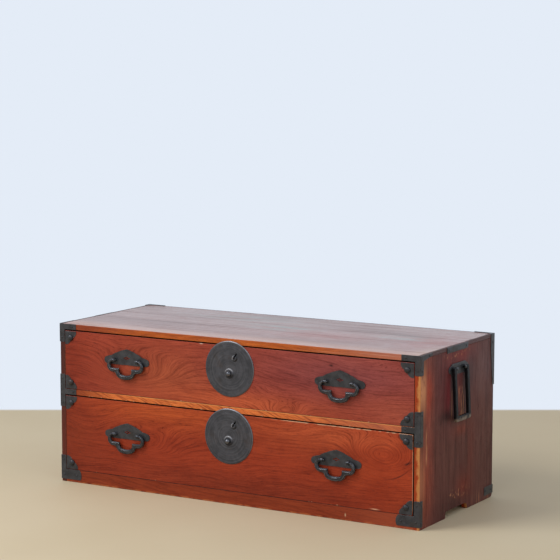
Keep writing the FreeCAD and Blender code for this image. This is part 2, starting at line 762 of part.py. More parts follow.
def rear_top_bracket(name, hand):
    """A strap over the rear top corner: down the edge, along the back, over the top."""
    node = f"rear_top_{name}_bracket"
    sheet_iron = body(node)
    edge = dim.iron
    wide = dim.rear_strap_wide
    narrow = dim.rear_strap_narrow
    drop = dim.rear_strap_drop
    arm = dim.rear_strap_arm
    lift = 0.0 if hand > 0 else -edge
    outline(sketch_on(sheet_iron, "YZ_Plane", lift), [
        (edge, edge),
        (-wide, edge),
        (-wide, -wide * 2),
        (-narrow, -drop),
        (edge, -drop),
    ])
    pad(sheet_iron, sheet_iron.Group[-1], edge, "side")
    outline(sketch_on(sheet_iron, "XZ_Plane", -edge), handed([
        (edge, edge),
        (-arm, edge),
        (-arm, -wide / 2),
        (-wide, -wide / 2, 2.0),
        (-wide, -wide * 2),
        (-narrow, -drop),
        (edge, -drop),
    ], hand))
    pad(sheet_iron, sheet_iron.Group[-1], edge, "back")
    outline(sketch_on(sheet_iron, "XY_Plane"), handed([
        (edge, edge),
        (-arm, edge),
        (-arm, -wide / 4),
        (-wide, -wide / 4),
        (0, -wide),
        (edge, -wide),
    ], hand))
    pad(sheet_iron, sheet_iron.Group[-1], edge, "top")
    place(sheet_iron, half_width * hand, back, dim.case_height)
    keep(sheet_iron, node)


def rear_bottom_brackets():
    """Two alike plates round the rear feet."""
    plate = body("heel_plate_pattern")
    height = dim.heel_plate_high - dim.heel_plate_low
    edge = dim.iron
    reach = dim.heel_plate
    wing = [
        (edge, 0),
        (edge, height),
        (-reach, height),
        (-reach, CLIP, CLIP_RISE),
        (-reach + CLIP, 0),
    ]
    outline(sketch_on(plate, "YZ_Plane"), wing)
    pad(plate, plate.Group[-1], edge, "side")
    outline(sketch_on(plate, "XZ_Plane", -edge), wing)
    pad(plate, plate.Group[-1], edge, "back")
    doc.recompute()
    low = dim.heel_plate_low.number
    right = Placement(Vector(half_width.number, back.number, low), Rotation())
    left_turn = Rotation(Vector(0, 0, 1), 90)
    left = Placement(Vector(-half_width.number, back.number, low), left_turn)
    group("rear_bottom_brackets", plate.Shape, [right, left])


def edge_guards():
    for name, low, start, end in (
        ("right", half_width, dim.guard_right_front, dim.guard_right_back),
        ("left", -half_width - dim.guard_thick, dim.guard_left_front, dim.guard_left_back),
    ):
        node = f"{name}_edge_guard"
        strip = box(node + "_strip", (low, front + start, top_under + STRAP_INSET),
                    (dim.guard_thick, end - start, dim.board - STRAP_INSET))
        hand = 1 if name == "right" else -1
        outer = half_width.number * hand + dim.guard_thick.number * hand
        keep(rounded(node, strip, dim.guard_thick * 0.5,
                     lambda at, edge: near(at.x, outer)), node)


# Nails of the straps: the distance in from the corner they are bent round, and the
# height. The rear ones are measured from the case's rear corner.
FRONT_NAILS = ((34, 358), (6.3, 332), (6.3, 183), (6.3, 239), (34, 208.5), (6.3, 51),
               (42, 16), (8, 16))
SIDE_NAILS = ((6, 331), (40, 359), (6.5, 183), (6.5, 239), (6.5, 51), (6.5, 14))
REAR_SIDE_NAILS = ((8, 346), (5, 264), (35, 19), (10, 19))
REAR_NAILS = ((8, 346), (5, 264), (38, 360), (35, 19), (10, 19))
GUARD_NAIL_INSET = 8
GUARD_NAIL_HEIGHT = 357.5
HANDLE_NAIL_ALONG = 40.5


def strap_nails():
    """Small flat-headed nails that hold the straps, the guards and the handle plates."""
    def hexagon(radius, height):
        corners = [
            Vector(radius * math.cos(turn), radius * math.sin(turn), height)
            for turn in (math.radians(60 * side) for side in range(7))
        ]
        return Part.makePolygon(corners)

    radius = dim.strap_nail_head.number
    head = Part.makeLoft([hexagon(radius, 0), hexagon(radius * 0.55,
                                                      dim.strap_nail_rise.number)],
                         True, True)
    shank = 1.4
    length = 9.0
    nail = head.fuse(Part.makeBox(shank, shank, length,
                                  Vector(-shank / 2, -shank / 2, -length)))
    width = half_width.number
    thick = dim.iron.number
    guard = dim.guard_thick.number
    handle_plate = dim.handle_plate_thick.number
    handle_middle = dim.handle_middle.number
    rear = back.number
    places = []

    def drive(x, y, z, normal):
        places.append(Placement(Vector(x, y, z), Rotation(Vector(0, 0, 1), Vector(*normal))))

    for hand in (-1, 1):
        for inward, height in FRONT_NAILS:
            drive(hand * (width - inward), front.number - thick, height, (0, -1, 0))
        for depth, height in SIDE_NAILS:
            drive(hand * (width + thick), front.number + depth, height, (hand, 0, 0))
        for depth, height in REAR_SIDE_NAILS:
            drive(hand * (width + thick), rear - depth, height, (hand, 0, 0))
        for inward, height in REAR_NAILS:
            drive(hand * (width - inward), rear + thick, height, (0, 1, 0))
        start = dim.guard_right_front.number if hand > 0 else dim.guard_left_front.number
        end = dim.guard_right_back.number if hand > 0 else dim.guard_left_back.number
        for depth in (start + GUARD_NAIL_INSET, end - GUARD_NAIL_INSET):
            drive(hand * (width + guard), front.number + depth, GUARD_NAIL_HEIGHT,
                  (hand, 0, 0))
        for along in (-HANDLE_NAIL_ALONG, HANDLE_NAIL_ALONG):
            drive(hand * (width + handle_plate), front.number + handle_middle + along,
                  dim.handle_plate_low.number + dim.handle_plate_height.number / 2,
                  (hand, 0, 0))
    group("bracket_nails", nail, places)


# --------------------------------------------------------------- carrying handles

def eye_post(name, standoff, head, pin, reach, washer):
    """A post whose round flat head is bored across for the end of a pull or handle.
    It stands out along -Y. Its square shank goes back through the wood, and may be
    riveted over a washer there."""
    post = body(name)
    edge = dim.post_half_thick
    circle(sketch_on(post, "YZ_Plane", -edge), -standoff, 0, head)
    pad(post, post.Group[-1], edge * 2, "head")
    bevel(post, dim.post_bevel, lambda at: near(abs(at.x), edge))
    square(sketch_on(post, "XZ_Plane", -reach), 0, 0, dim.post_shank)
    pad(post, post.Group[-1], reach + standoff, "shank")
    if washer:
        square(sketch_on(post, "XZ_Plane", -reach), 0, 0, dim.post_shank * 2)
        pad(post, post.Group[-1], dim.iron, "washer")
    circle(sketch_on(post, "YZ_Plane"), -standoff, 0, pin / 2 + dim.running_fit)
    pocket(post, post.Group[-1], "eye")
    doc.recompute()
    return post.Shape


def handle_fittings():
    """Plates and posts that carry the two side handles."""
    plate = body("handle_plate_pattern")
    half = dim.handle_plate_length / 2
    high = dim.handle_plate_height
    ear = high * 0.3
    outline(sketch_on(plate, "YZ_Plane"), symmetric([
        (0, 0),
        (half - ear * 2, 0, 0.8),
        (half - ear, ear * 0.6, -1.6),
        (half, high * 0.5, -1.6),
        (half - ear, high - ear * 0.6, 0.8),
        (half - ear * 2, high),
        (0, high),
    ]))
    pad(plate, plate.Group[-1], dim.handle_plate_thick)
    doc.recompute()
    height = dim.handle_plate_low.number
    along = (front + dim.handle_middle).number
    width = half_width.number
    half_turn = Rotation(Vector(0, 0, 1), 180)
    group("handle_plates", plate.Shape, [
        Placement(Vector(hand * width, along, height), turn)
        for hand, turn in ((1, Rotation()), (-1, half_turn))
    ])

    post = eye_post("handle_post_pattern", dim.handle_standoff, dim.handle_post_head,
                    dim.handle_pin, dim.board - 1, False)
    places = []
    for hand in (-1, 1):
        for end in (-1, 1):
            point = Vector(hand * width, along + end * dim.handle_post.number,
                           dim.handle_hinge.number)
            places.append(Placement(point, Rotation(Vector(0, 0, 1), hand * 90)))
    group("handle_posts", post, places)


def carrying_handle(node, hand):
    """A rectangular carrying handle, its ends hooked into the posts; it hangs with
    its foot leaning off the side panel."""
    handle = body(node)
    outer = dim.handle_width / 2
    leg = dim.handle_leg
    inside = outer - leg
    low = -dim.handle_drop
    corner = dim.handle_corner
    hollow = dim.handle_hollow
    rung = low + leg
    outline(sketch_on(handle, "YZ_Plane", -dim.handle_bar / 2), symmetric([
        (0, low),
        (outer - corner, low, -QUARTER_RISE * corner.number),
        (outer, low + corner),
        (outer, dim.handle_end, -dim.handle_end_rise.number),
        (inside, dim.handle_end),
        (inside, rung + hollow, QUARTER_RISE * hollow.number),
        (inside - hollow, rung),
        (0, rung),
    ]))
    pad(handle, handle.Group[-1], dim.handle_bar, "frame")
    pin_inside = dim.handle_post - dim.post_half_thick - dim.pin_end
    pin_length = inside + dim.pin_end - pin_inside
    for end, lift in (("rear", -inside - dim.pin_end), ("front", pin_inside)):
        circle(sketch_on(handle, "XZ_Plane", lift), 0, 0, dim.handle_pin / 2)
        pad(handle, handle.Group[-1], pin_length, end + "_pin")
    half_bar = dim.handle_bar.number / 2
    bevel(handle, dim.handle_bevel, lambda at: near(abs(at.x), half_bar))
    lean = Rotation(Vector(0, 1, 0), -hand * dim.handle_lean.number)
    place(handle, (half_width + dim.handle_standoff) * hand, front + dim.handle_middle,
          dim.handle_hinge)
    handle.Placement.Rotation = lean
    keep(handle, node)


# ------------------------------------------------------------------------ drawers

def drawer_box(name, low, high, trim, lock_x, knob, holes):
    """Front, sides, back and bottom of a drawer. The front is lapped over the sides,
    and is bored and mortised for its iron."""
    half = inner - dim.drawer_gap
    under = low + dim.drawer_run_gap
    floor = under + dim.drawer_bottom
    top = high - dim.drawer_top_gap
    lap = drawer_face + dim.front_lip
    lap_depth = dim.front_thick - dim.front_lip
    length = dim.drawer_length - dim.front_lip
    node = f"{name}_drawer_front"
    board = box(node + "_board", (-half, drawer_face, under),
                (half * 2 - trim, dim.front_thick, top - under))
    cutters = [
        box(f"{node}_{end}_lap", (start, lap, floor),
            (dim.drawer_side, lap_depth, top - floor))
        for end, start in (("left", -half), ("right", half - dim.drawer_side))
    ]
    cutters.append(box(node + "_bottom_lap", (-half, lap, under),
                       (half * 2, lap_depth, dim.drawer_bottom)))
    cutters.append(box(node + "_lock_mortise",
                       (lock_x - dim.lock_half_width, lap, knob - dim.lock_below),
                       (dim.lock_half_width * 2, lap_depth,
                        dim.lock_below + dim.lock_above)))
    slot_low = knob + dim.lock_above
    cutters.append(box(node + "_bolt_slot",
                       (lock_x - bolt_slot_half, bolt_slot_front, slot_low),
                       (bolt_slot_half * 2, bolt_slot_thick, top - slot_low)))
    backward = Vector(0, 1, 0)
    cutters.append(rod(node + "_button_hole", (lock_x, drawer_face, knob),
                       dim.knob_radius + dim.running_fit * 4, dim.front_lip, backward))
    cutters.append(rod(node + "_key_hole",
                       (lock_x + dim.key_across, drawer_face,
                        knob + dim.knob_drop + dim.key_up),
                       dim.key_slot_length / 2, dim.front_lip, backward))
    for number, (across, height) in enumerate(holes):
        cutters.append(box(f"{node}_post_hole_{number}",
                           (across - dim.post_shank, drawer_face, height - dim.post_shank),
                           (dim.post_shank * 2, dim.front_thick, dim.post_shank * 2)))
    shaped = cut(node + "_shaped", board, cutters)
    ends = (-half, half - trim)
    keep(rounded(node, shaped, dim.edge_round * 0.7, lambda at, edge:
                 near(at.y, drawer_face)
                 and (near(at.x, ends[0]) or near(at.x, ends[1])
                      or near(at.z, top) or near(at.z, under))), node)

    side_height = high - dim.side_drop - floor
    for end, start in (("left", -half), ("right", half - dim.drawer_side)):
        keep(box(f"{name}_drawer_{end}_side", (start, lap, floor),
                 (dim.drawer_side, length, side_height)), f"{name}_drawer_{end}_side")
    between = half - dim.drawer_side
    rear = drawer_face + dim.drawer_length - dim.drawer_back
    keep(box(f"{name}_drawer_back", (-between, rear, floor),
             (between * 2, dim.drawer_back, high - dim.back_drop - floor)),
         f"{name}_drawer_back")
    keep(box(f"{name}_drawer_bottom", (-half, lap, under),
             (half * 2, length, dim.drawer_bottom)), f"{name}_drawer_bottom")


def lock_plate(node, across, centre):
    """The round plate: a raised field in a bevelled rim, a raised ring round the
    button and a raised boss round the lower end of the leaning keyhole."""
    plate = body(node)
    profile = sketch_on(plate, "XY_Plane")
    step = dim.disc_crown - dim.disc_face
    outline(profile, [
        (0, 0),
        (0, -dim.disc_crown),
        (dim.disc_ring - step, -dim.disc_crown),
        (dim.disc_ring, -dim.disc_face),
        (dim.disc_radius - dim.disc_bevel, -dim.disc_face),
        (dim.disc_radius, -dim.disc_rim),
        (dim.disc_radius, 0),
    ])
    turned(plate, profile)
    circle(sketch_on(plate, "XZ_Plane"), 0, -dim.knob_drop, dim.collar_radius)
    pad(plate, plate.Group[-1], dim.collar_height, "collar")
    lean = math.radians(dim.key_lean.number)
    circle(sketch_on(plate, "XZ_Plane"), dim.key_across - dim.key_boss_drop * math.sin(lean),
           dim.key_up - dim.key_boss_drop * math.cos(lean), dim.key_boss)
    pad(plate, plate.Group[-1], dim.key_boss_height, "boss")
    bevel(plate, dim.boss_bevel, lambda at: at.y < -dim.collar_height.number + 0.01)
    keyhole = (dim.key_across, dim.key_up)
    slot(sketch_on(plate, "XZ_Plane", 0.0, keyhole, -dim.key_lean),
         dim.key_slot_length / 2 - dim.key_slot_width / 2, dim.key_slot_width / 2)
    pocket(plate, plate.Group[-1], "keyhole")
    circle(sketch_on(plate, "XZ_Plane"), 0, -dim.knob_drop,
           dim.knob_radius + dim.running_fit)
    pocket(plate, plate.Group[-1], "button_hole")
    place(plate, across, drawer_face, centre)
    keep(plate, node)


def ramp(height, gap=0):
    """Depth of the bolt's ramp at a height over the button axis. It rises 2 for 1, so
    the button's travel throws the bolt twice as far."""
    foot = dim.bolt_front + dim.bolt_thick - (height + dim.bolt_foot) / 2
    return foot - gap


def lock_button(node, across, knob):
    """A plunger with a domed head, a collar behind the wood and a wedge for a tail."""
    button = body(node)
    profile = sketch_on(button, "XY_Plane")
    radius = dim.knob_radius
    flange_front = dim.front_lip + dim.flange_play
    flange_back = flange_front + dim.flange_thick
    outline(profile, [
        (0, dim.knob_tail),
        (0, -dim.knob_reach - radius, -QUARTER_RISE * radius.number),
        (radius, -dim.knob_reach),
        (radius, flange_front),
        (dim.knob_flange, flange_front),
        (dim.knob_flange, flange_back),
        (radius, flange_back),
        (radius, dim.knob_tail),
    ])
    turned(button, profile)
    reach = dim.wedge_reach
    beyond = dim.knob_tail + dim.knob_radius
    outline(sketch_on(button, "YZ_Plane"), [
        (ramp(reach, dim.wedge_play), reach),
        (ramp(-reach, dim.wedge_play), -reach),
        (beyond, -reach),
        (beyond, reach),
    ])
    pocket(button, button.Group[-1], "wedge")
    place(button, across, drawer_face, knob)
    keep(button, node)


def lock_bolt(node, across, knob, top):
    """A flat bolt: a broad head that rises into the case, and a stem cut to a ramp."""
    bolt = body(node)
    head_low = dim.bolt_head_low
    head_high = top - knob - 1
    clip = 1.5
    outline(sketch_on(bolt, "XZ_Plane", -dim.bolt_front - dim.bolt_thick), symmetric([
        (0, -dim.bolt_foot),
        (dim.bolt_stem, -dim.bolt_foot),
        (dim.bolt_stem, head_low),
        (dim.bolt_half_width, head_low),
        (dim.bolt_half_width, head_high - clip),
        (dim.bolt_half_width - clip, head_high),
        (0, head_high),
    ]))
    pad(bolt, bolt.Group[-1], dim.bolt_thick, "plate")
    ramp_low = -dim.bolt_foot - 1
    ramp_high = dim.bolt_foot * 2 + 1
    before = dim.bolt_front - dim.bolt_thick / 2
    outline(sketch_on(bolt, "YZ_Plane"), [
        (ramp(ramp_low), ramp_low),
        (ramp(ramp_high), ramp_high),
        (before, ramp_high),
        (before, ramp_low),
    ])
    pocket(bolt, bolt.Group[-1], "ramp")
    circle(sketch_on(bolt, "XZ_Plane"), dim.bolt_half_width - 5, dim.knob_drop + dim.key_up,
           3)
    pocket(bolt, bolt.Group[-1], "key_eye")
    place(bolt, across, drawer_face, knob)
    keep(bolt, node)


def lock_spring(node, across, knob):
    """A bowed leaf that leans on the case's wall and steadies the bolt's edge."""
    spring = body(node)
    wall = dim.lock_half_width - dim.lock_wall
    crown = dim.bolt_half_width + 1.2
    bow = (wall - crown).number
    low = 4.0
    high = dim.lock_above - 2
    outline(sketch_on(spring, "XZ_Plane", -dim.bolt_front - dim.bolt_thick), [
        (wall, low, bow),
        (wall, high),
        (wall, high - 1, -bow + dim.spring_thick.number),
        (wall, low + 1),
    ])
    pad(spring, spring.Group[-1], dim.bolt_thick)
    place(spring, across, drawer_face, knob)
    keep(spring, node)


def lock_case(node, across, knob):
    """The iron tray let into the back of the drawer front round the bolt."""
    half = dim.lock_half_width
    wall = dim.lock_wall
    start = drawer_face + dim.front_lip
    low = knob - dim.lock_below
    height = dim.lock_below + dim.lock_above
    tray = box(node + "_block", (across - half, start, low),
               (half * 2, dim.lock_depth, height))
    hollow = box(node + "_hollow", (across - half + wall, start, low + wall),
                 ((half - wall) * 2, dim.lock_depth - wall, height - wall * 2))
    slot_cut = box(node + "_slot",
                   (across - bolt_slot_half, bolt_slot_front, low + height - wall),
                   (bolt_slot_half * 2, bolt_slot_thick, wall))
    keep(cut(node, tray, [hollow, slot_cut]), node)


def pull_plate(node, across, height, sag):
    """A cloud-edged back plate pierced with four small lozenges. The sag is how far
    its own middle line lies below the posts."""
    plate = body(node)
    half = dim.pull_plate_half
    top = dim.pull_plate_top
    low = -dim.pull_plate_low
    outline(sketch_on(plate, "XZ_Plane"), symmetric([
        (0, low, -0.6),
        (half * 0.89, low * 0.96, -0.9),
        (half, low * 0.47, -0.3),
        (half, top * 0.06, -0.8),
        (half * 0.91, top * 0.25, -0.5),
        (half * 0.687, top * 0.367, -0.8),
        (half * 0.402, top * 0.695, -0.9),
        (0, top),
    ]))
    pad(plate, plate.Group[-1], dim.pull_plate_thick)
    middle = dim.pierced_middle
    step_across = dim.pierced_across + dim.pierced_bridge
    step_up = dim.pierced_up + dim.pierced_bridge
    for x, z in ((-step_across, 0), (step_across, 0), (0, -step_up), (0, step_up)):
        outline(sketch_on(plate, "XZ_Plane"), [
            (x - dim.pierced_across, middle + z),
            (x, middle + z - dim.pierced_up),
            (x + dim.pierced_across, middle + z),
            (x, middle + z + dim.pierced_up),
        ])
        pocket(plate, plate.Group[-1], "lozenge")
    for end in (-1, 1):
        square(sketch_on(plate, "XZ_Plane"), dim.pull_post * end, sag, dim.post_shank)
        pocket(plate, plate.Group[-1], "post_hole")
    place(plate, across, drawer_face, height - sag)
    keep(plate, node)


def pull(node, across, height):
    """A three-lobed pull, forged to eight flats: a middle lobe and two side lobes meet
    in sharp cusps inside and in soft hollows outside. The bar is heaviest at the
    bottom; its thin ends are hooked inwards through the posts."""
    handle = body(node)
    turn = dim.pull_turn
    end_high = dim.pull_end_bar / 2
    low = -dim.pull_drop
    shoulder = -dim.pull_shoulder
    ledge = shoulder + dim.pull_shoulder_bar
    inner_low = low + dim.pull_bottom_bar
    cusp = dim.pull_cusp

    waist = (dim.pull_waist, -dim.pull_waist_drop)
    bottom, slope = flowing(
        [(0, low), (dim.pull_bottom, low + dim.pull_bottom_rise), waist], 0)
    hollow_width = (shoulder - waist[1]).number / math.tan(slope / 2)
    hollow, _ = flowing([waist, (waist[0] + hollow_width, shoulder)], slope)
    lobe, _ = flowing([(dim.pull_lobe_start, shoulder), (turn, end_high)], 0)
    corner = (cusp - dim.pull_inner_corner, inner_low + dim.pull_inner_rise)
    rise_angle = math.atan2(dim.pull_inner_rise.number, corner[0].number)
    corner_rise = dim.pull_inner_corner * math.tan(math.radians(45) + rise_angle)
    inside, _ = flowing([(cusp, corner[1] + corner_rise), corner, (0, inner_low)],
                        -math.radians(90))
    outline(sketch_on(handle, "XZ_Plane", -dim.pull_depth / 2), symmetric([
        *bottom,
        *hollow,
        (waist[0] + hollow_width, shoulder),
        *lobe,
        (turn, end_high),
        (turn, -end_high, dim.pull_lobe_bow.number),
        (turn, ledge),
        (cusp, ledge),
        *inside,
        (0, inner_low),
    ]))
    pad(handle, handle.Group[-1], dim.pull_depth, "bar")
    face = dim.pull_depth / 2
    bevel(handle, dim.pull_bevel, lambda at: near(abs(at.y), face)
          and not near(abs(at.x), turn))
    pin_start = dim.pull_post - dim.post_half_thick - dim.pin_end
    pin_length = turn - pin_start
    for side, lift in (("right", pin_start), ("left", -turn)):
        circle(sketch_on(handle, "YZ_Plane", lift), 0, 0, dim.pull_pin / 2)
        pad(handle, handle.Group[-1], pin_length, side + "_pin")
    place(handle, across, drawer_face - dim.pull_standoff, height)
    keep(handle, node)


def corner_plates(name, left, right, low, high):
    """Four alike corner plates and their domed nails, one in each corner."""
    plate = body(name + "_corner_pattern")
    leg = dim.corner_plate
    edge = dim.corner_plate_edge
    tip = dim.corner_plate_tip
    cusp = leg * 0.56
    lobe = -2.6
    outline(sketch_on(plate, "XZ_Plane"), [
        (edge, -edge),
        (edge, -leg),
        (edge + tip, -leg, lobe),
        (cusp, -cusp, lobe),
        (leg, -edge - tip),
        (leg, -edge),
    ])
    pad(plate, plate.Group[-1], dim.iron)
    nail = body(name + "_nail_pattern")
    profile = sketch_on(nail, "XY_Plane")
    head = dim.corner_nail_head
    rise = dim.corner_nail_rise
    dome = head.number
    height = rise.number
    dome_radius = (dome ** 2 + height ** 2) / (2 * height)
    chord = math.hypot(dome, height)
    bulge = dome_radius - math.sqrt(dome_radius ** 2 - (chord / 2) ** 2)
    outline(profile, [
        (0, -dim.iron),
        (0, -dim.iron - rise, -bulge),
        (head, -dim.iron),
    ])
    turned(nail, profile)
    shank_end = 12.0
    half_shank = 1.3
    square(sketch_on(nail, "XZ_Plane", -shank_end), 0, 0, half_shank)
    pad(nail, nail.Group[-1], shank_end + dim.iron, "shank")
    doc.recompute()
    plates = []
    nails = []
    inset = dim.corner_nail_in.number
    for quarter, (x, z) in enumerate(((left, high), (right, high), (right, low),
                                      (left, low))):
        corner = Placement(Vector(x, drawer_face.number, z),
                           Rotation(Vector(0, 1, 0), 90 * quarter))
        plates.append(corner)
        nails.append(corner.multiply(Placement(Vector(inset, 0, -inset), Rotation())))
    group(f"{name}_corner_plates", plate.Shape, plates)
    group(f"{name}_corner_nails", nail.Shape, nails)


def drawer(name, low, high, trim, disc, pull_right, pull_height):
    disc_across, disc_height = disc
    knob = disc_height - dim.knob_drop
    pulls = (("left", dim.pull_left), ("right", pull_right))
    post_spots = [
        (across + dim.pull_post * end, pull_height) for _, across in pulls for end in (-1, 1)
    ]
    drawer_box(name, low, high, trim, disc_across, knob, post_spots)
    lock_plate(f"{name}_lock_plate", disc_across, disc_height)
    lock_case(f"{name}_lock_case", disc_across, knob)
    lock_spring(f"{name}_lock_spring", disc_across, knob)
    lock_bolt(f"{name}_lock_bolt", disc_across, knob, high - dim.drawer_top_gap)
    lock_button(f"{name}_lock_button", disc_across, knob)
    for end, across in pulls:
        sag = dim.pull_plate_sag if (name, end) == ("lower", "right") else 0
        pull_plate(f"{name}_{end}_pull_plate", across, pull_height, sag)
        pull(f"{name}_{end}_pull", across, pull_height)
    post = eye_post(f"{name}_post_pattern", dim.pull_standoff, dim.pull_post_head,
                    dim.pull_pin, dim.front_thick + dim.iron, True)
    group(f"{name}_pull_posts", post, [
        Placement(Vector(across.number, drawer_face.number, height.number), Rotation())
        for across, height in post_spots
    ])
    half = (inner - dim.drawer_gap).number
    corner_plates(name, -half, half - number_of(trim),
                  (low + dim.drawer_run_gap).number, (high - dim.drawer_top_gap).number)


side_panel("left_side_panel", -1)
side_panel("right_side_panel", 1)
top_board()
rails_and_boards()
back_boards()
case_pegs()
for side_name, side_hand in (("left", -1), ("right", 1)):
    front_straps(side_name, side_hand)
    rear_top_bracket(side_name, side_hand)
    carrying_handle(f"{side_name}_carrying_handle", side_hand)
rear_bottom_brackets()
edge_guards()
strap_nails()
handle_fittings()
drawer("upper", middle_rail_top, top_under, 0.0,
       (dim.upper_disc_across, dim.upper_disc), dim.upper_pull_right,
       dim.upper_pull_height)
drawer("lower", dim.bottom_rail_height, dim.middle_rail_low, dim.lower_front_trim,
       (dim.lower_disc_across, dim.lower_disc), dim.lower_pull_right,
       dim.lower_pull_height)

doc.recompute()
for thing in doc.Objects:
    if "Invalid" in thing.State or "Error" in thing.State:
        raise RuntimeError(f"{thing.Label} failed: {thing.State}")
os.makedirs("parts", exist_ok=True)
for node, thing in parts.items():
    shape = thing.Shape
    if shape.isNull() or not shape.isValid():
        raise RuntimeError(f"{node} has no valid shape")
    shape.exportStep(f"parts/{node}.step")
print(f"{len(parts)} sub-parts written")
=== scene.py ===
# %% [markdown]
# This lesson dresses a small two-drawer chest of lacquered hardwood with forged iron fittings.
# Every size, place and joint comes from the chest's CAD model, which is loaded first as a fixed
# frame. The script then gives each wooden and iron piece soft edges, a finish made of nodes, a
# plain studio and a camera.

# %% Load the fixed frame
import json
import math

import bmesh
import bpy
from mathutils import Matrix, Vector


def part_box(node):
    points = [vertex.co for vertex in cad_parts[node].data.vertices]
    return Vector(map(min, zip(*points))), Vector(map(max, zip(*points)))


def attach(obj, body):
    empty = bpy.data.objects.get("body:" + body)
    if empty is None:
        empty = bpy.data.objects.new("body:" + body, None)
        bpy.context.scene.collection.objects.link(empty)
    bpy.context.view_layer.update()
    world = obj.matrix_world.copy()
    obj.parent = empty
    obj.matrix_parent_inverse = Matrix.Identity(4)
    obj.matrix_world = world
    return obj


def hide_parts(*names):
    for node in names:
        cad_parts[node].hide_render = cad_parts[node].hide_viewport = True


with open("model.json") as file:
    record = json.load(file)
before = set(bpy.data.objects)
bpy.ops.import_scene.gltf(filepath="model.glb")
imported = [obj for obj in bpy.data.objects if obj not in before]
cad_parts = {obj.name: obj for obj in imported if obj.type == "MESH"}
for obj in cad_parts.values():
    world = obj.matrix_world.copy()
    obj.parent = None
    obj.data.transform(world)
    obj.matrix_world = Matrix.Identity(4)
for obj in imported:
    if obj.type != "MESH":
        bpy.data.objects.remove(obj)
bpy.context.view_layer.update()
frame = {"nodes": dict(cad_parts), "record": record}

record = frame["record"]
nodes = frame["nodes"]
body_of = {node: body for body, members in record["behaviour"]["bodies"].items() for node in members}
slot_of = {part["node"]: part["material_slot"] for part in record["subparts"]}

# %% [markdown]
# The camera stands well back with a long lens, a little to the right of the chest and only
# just above it, so the fronts keep their proportions and the top shows as a thin glancing band.
# The two functions that aim it will aim the lamps too.

# %% Camera
CAMERA_TURN = math.radians(30.59)
CAMERA_RISE = math.radians(7.10)
CAMERA_PLACE = Vector((2.22665, -3.732065, 1.01371))
LENS_MM = 127.0
SENSOR_MM = 36.0


def compass(turn, rise):
    """The direction in which a turn from the front and a rise, in radians, lie from the chest."""
    return Vector((math.sin(turn) * math.cos(rise), -math.cos(turn) * math.cos(rise), math.sin(rise)))


def stand(name, data, location, outward):
    """Puts a camera or a lamp in the scene, looking against the direction outward."""
    holder = bpy.data.objects.new(name, data)
    bpy.context.scene.collection.objects.link(holder)
    holder.location = location
    holder.rotation_mode = "QUATERNION"
    holder.rotation_quaternion = (-outward).to_track_quat("-Z", "Y")
    return holder


lens = bpy.data.cameras.new("studio_camera")
lens.lens = LENS_MM
lens.sensor_width = SENSOR_MM
lens.clip_start = 0.1
lens.clip_end = 100.0
backward = compass(CAMERA_TURN, CAMERA_RISE)
camera = stand("studio_camera", lens, CAMERA_PLACE, backward)
bpy.context.scene.camera = camera
bpy.context.scene.view_settings.view_transform = "Standard"
print("camera looks along", [round(v, 3) for v in -backward])

# %% [markdown]
# A finish is a small sum: how dark a growth line is, how worn an edge is, how rough the lacquer
# has become. Written as node links that sum is hard to read, so one class stands for a socket
# and turns plain Python expressions into Math nodes. Another class holds one material, and one
# function adds every node, here and later in the surround and the nails.

# %% Shader sums
class Value:
    """A socket of one finish. Sums with numbers or other values add Math nodes."""

    def __init__(self, finish, socket):
        self.finish = finish
        self.socket = socket

    def __add__(self, other):
        return self.finish.maths("ADD", self, other)

    __radd__ = __add__

    def __sub__(self, other):
        return self.finish.maths("SUBTRACT", self, other)

    def __rsub__(self, other):
        return self.finish.maths("SUBTRACT", other, self)

    def __mul__(self, other):
        return self.finish.maths("MULTIPLY", self, other)

    __rmul__ = __mul__

    def __truediv__(self, other):
        return self.finish.maths("DIVIDE", self, other)


def tone(red, green, blue):
    """A colour from a screen's 0 to 255 scale as the linear light that shaders use."""
    parts = []
    for part in (red, green, blue):
        part = part / 255
        parts.append(part / 12.92 if part <= 0.04045 else ((part + 0.055) / 1.055) ** 2.4)
    return (*parts, 1.0)


def add_node(tree, kind, settings=None, sockets=None):
    """Adds a node: its settings first, then the value or link of each socket. Returns its outputs."""
    made = tree.nodes.new(kind)
    for name, setting in (settings or {}).items():
        setattr(made, name, setting)
    for name, value in (sockets or {}).items():
        link = value.socket if isinstance(value, Value) else value
        if isinstance(link, bpy.types.NodeSocket):
            tree.links.new(link, made.inputs[name])
        else:
            made.inputs[name].default_value = value
    return made.outputs


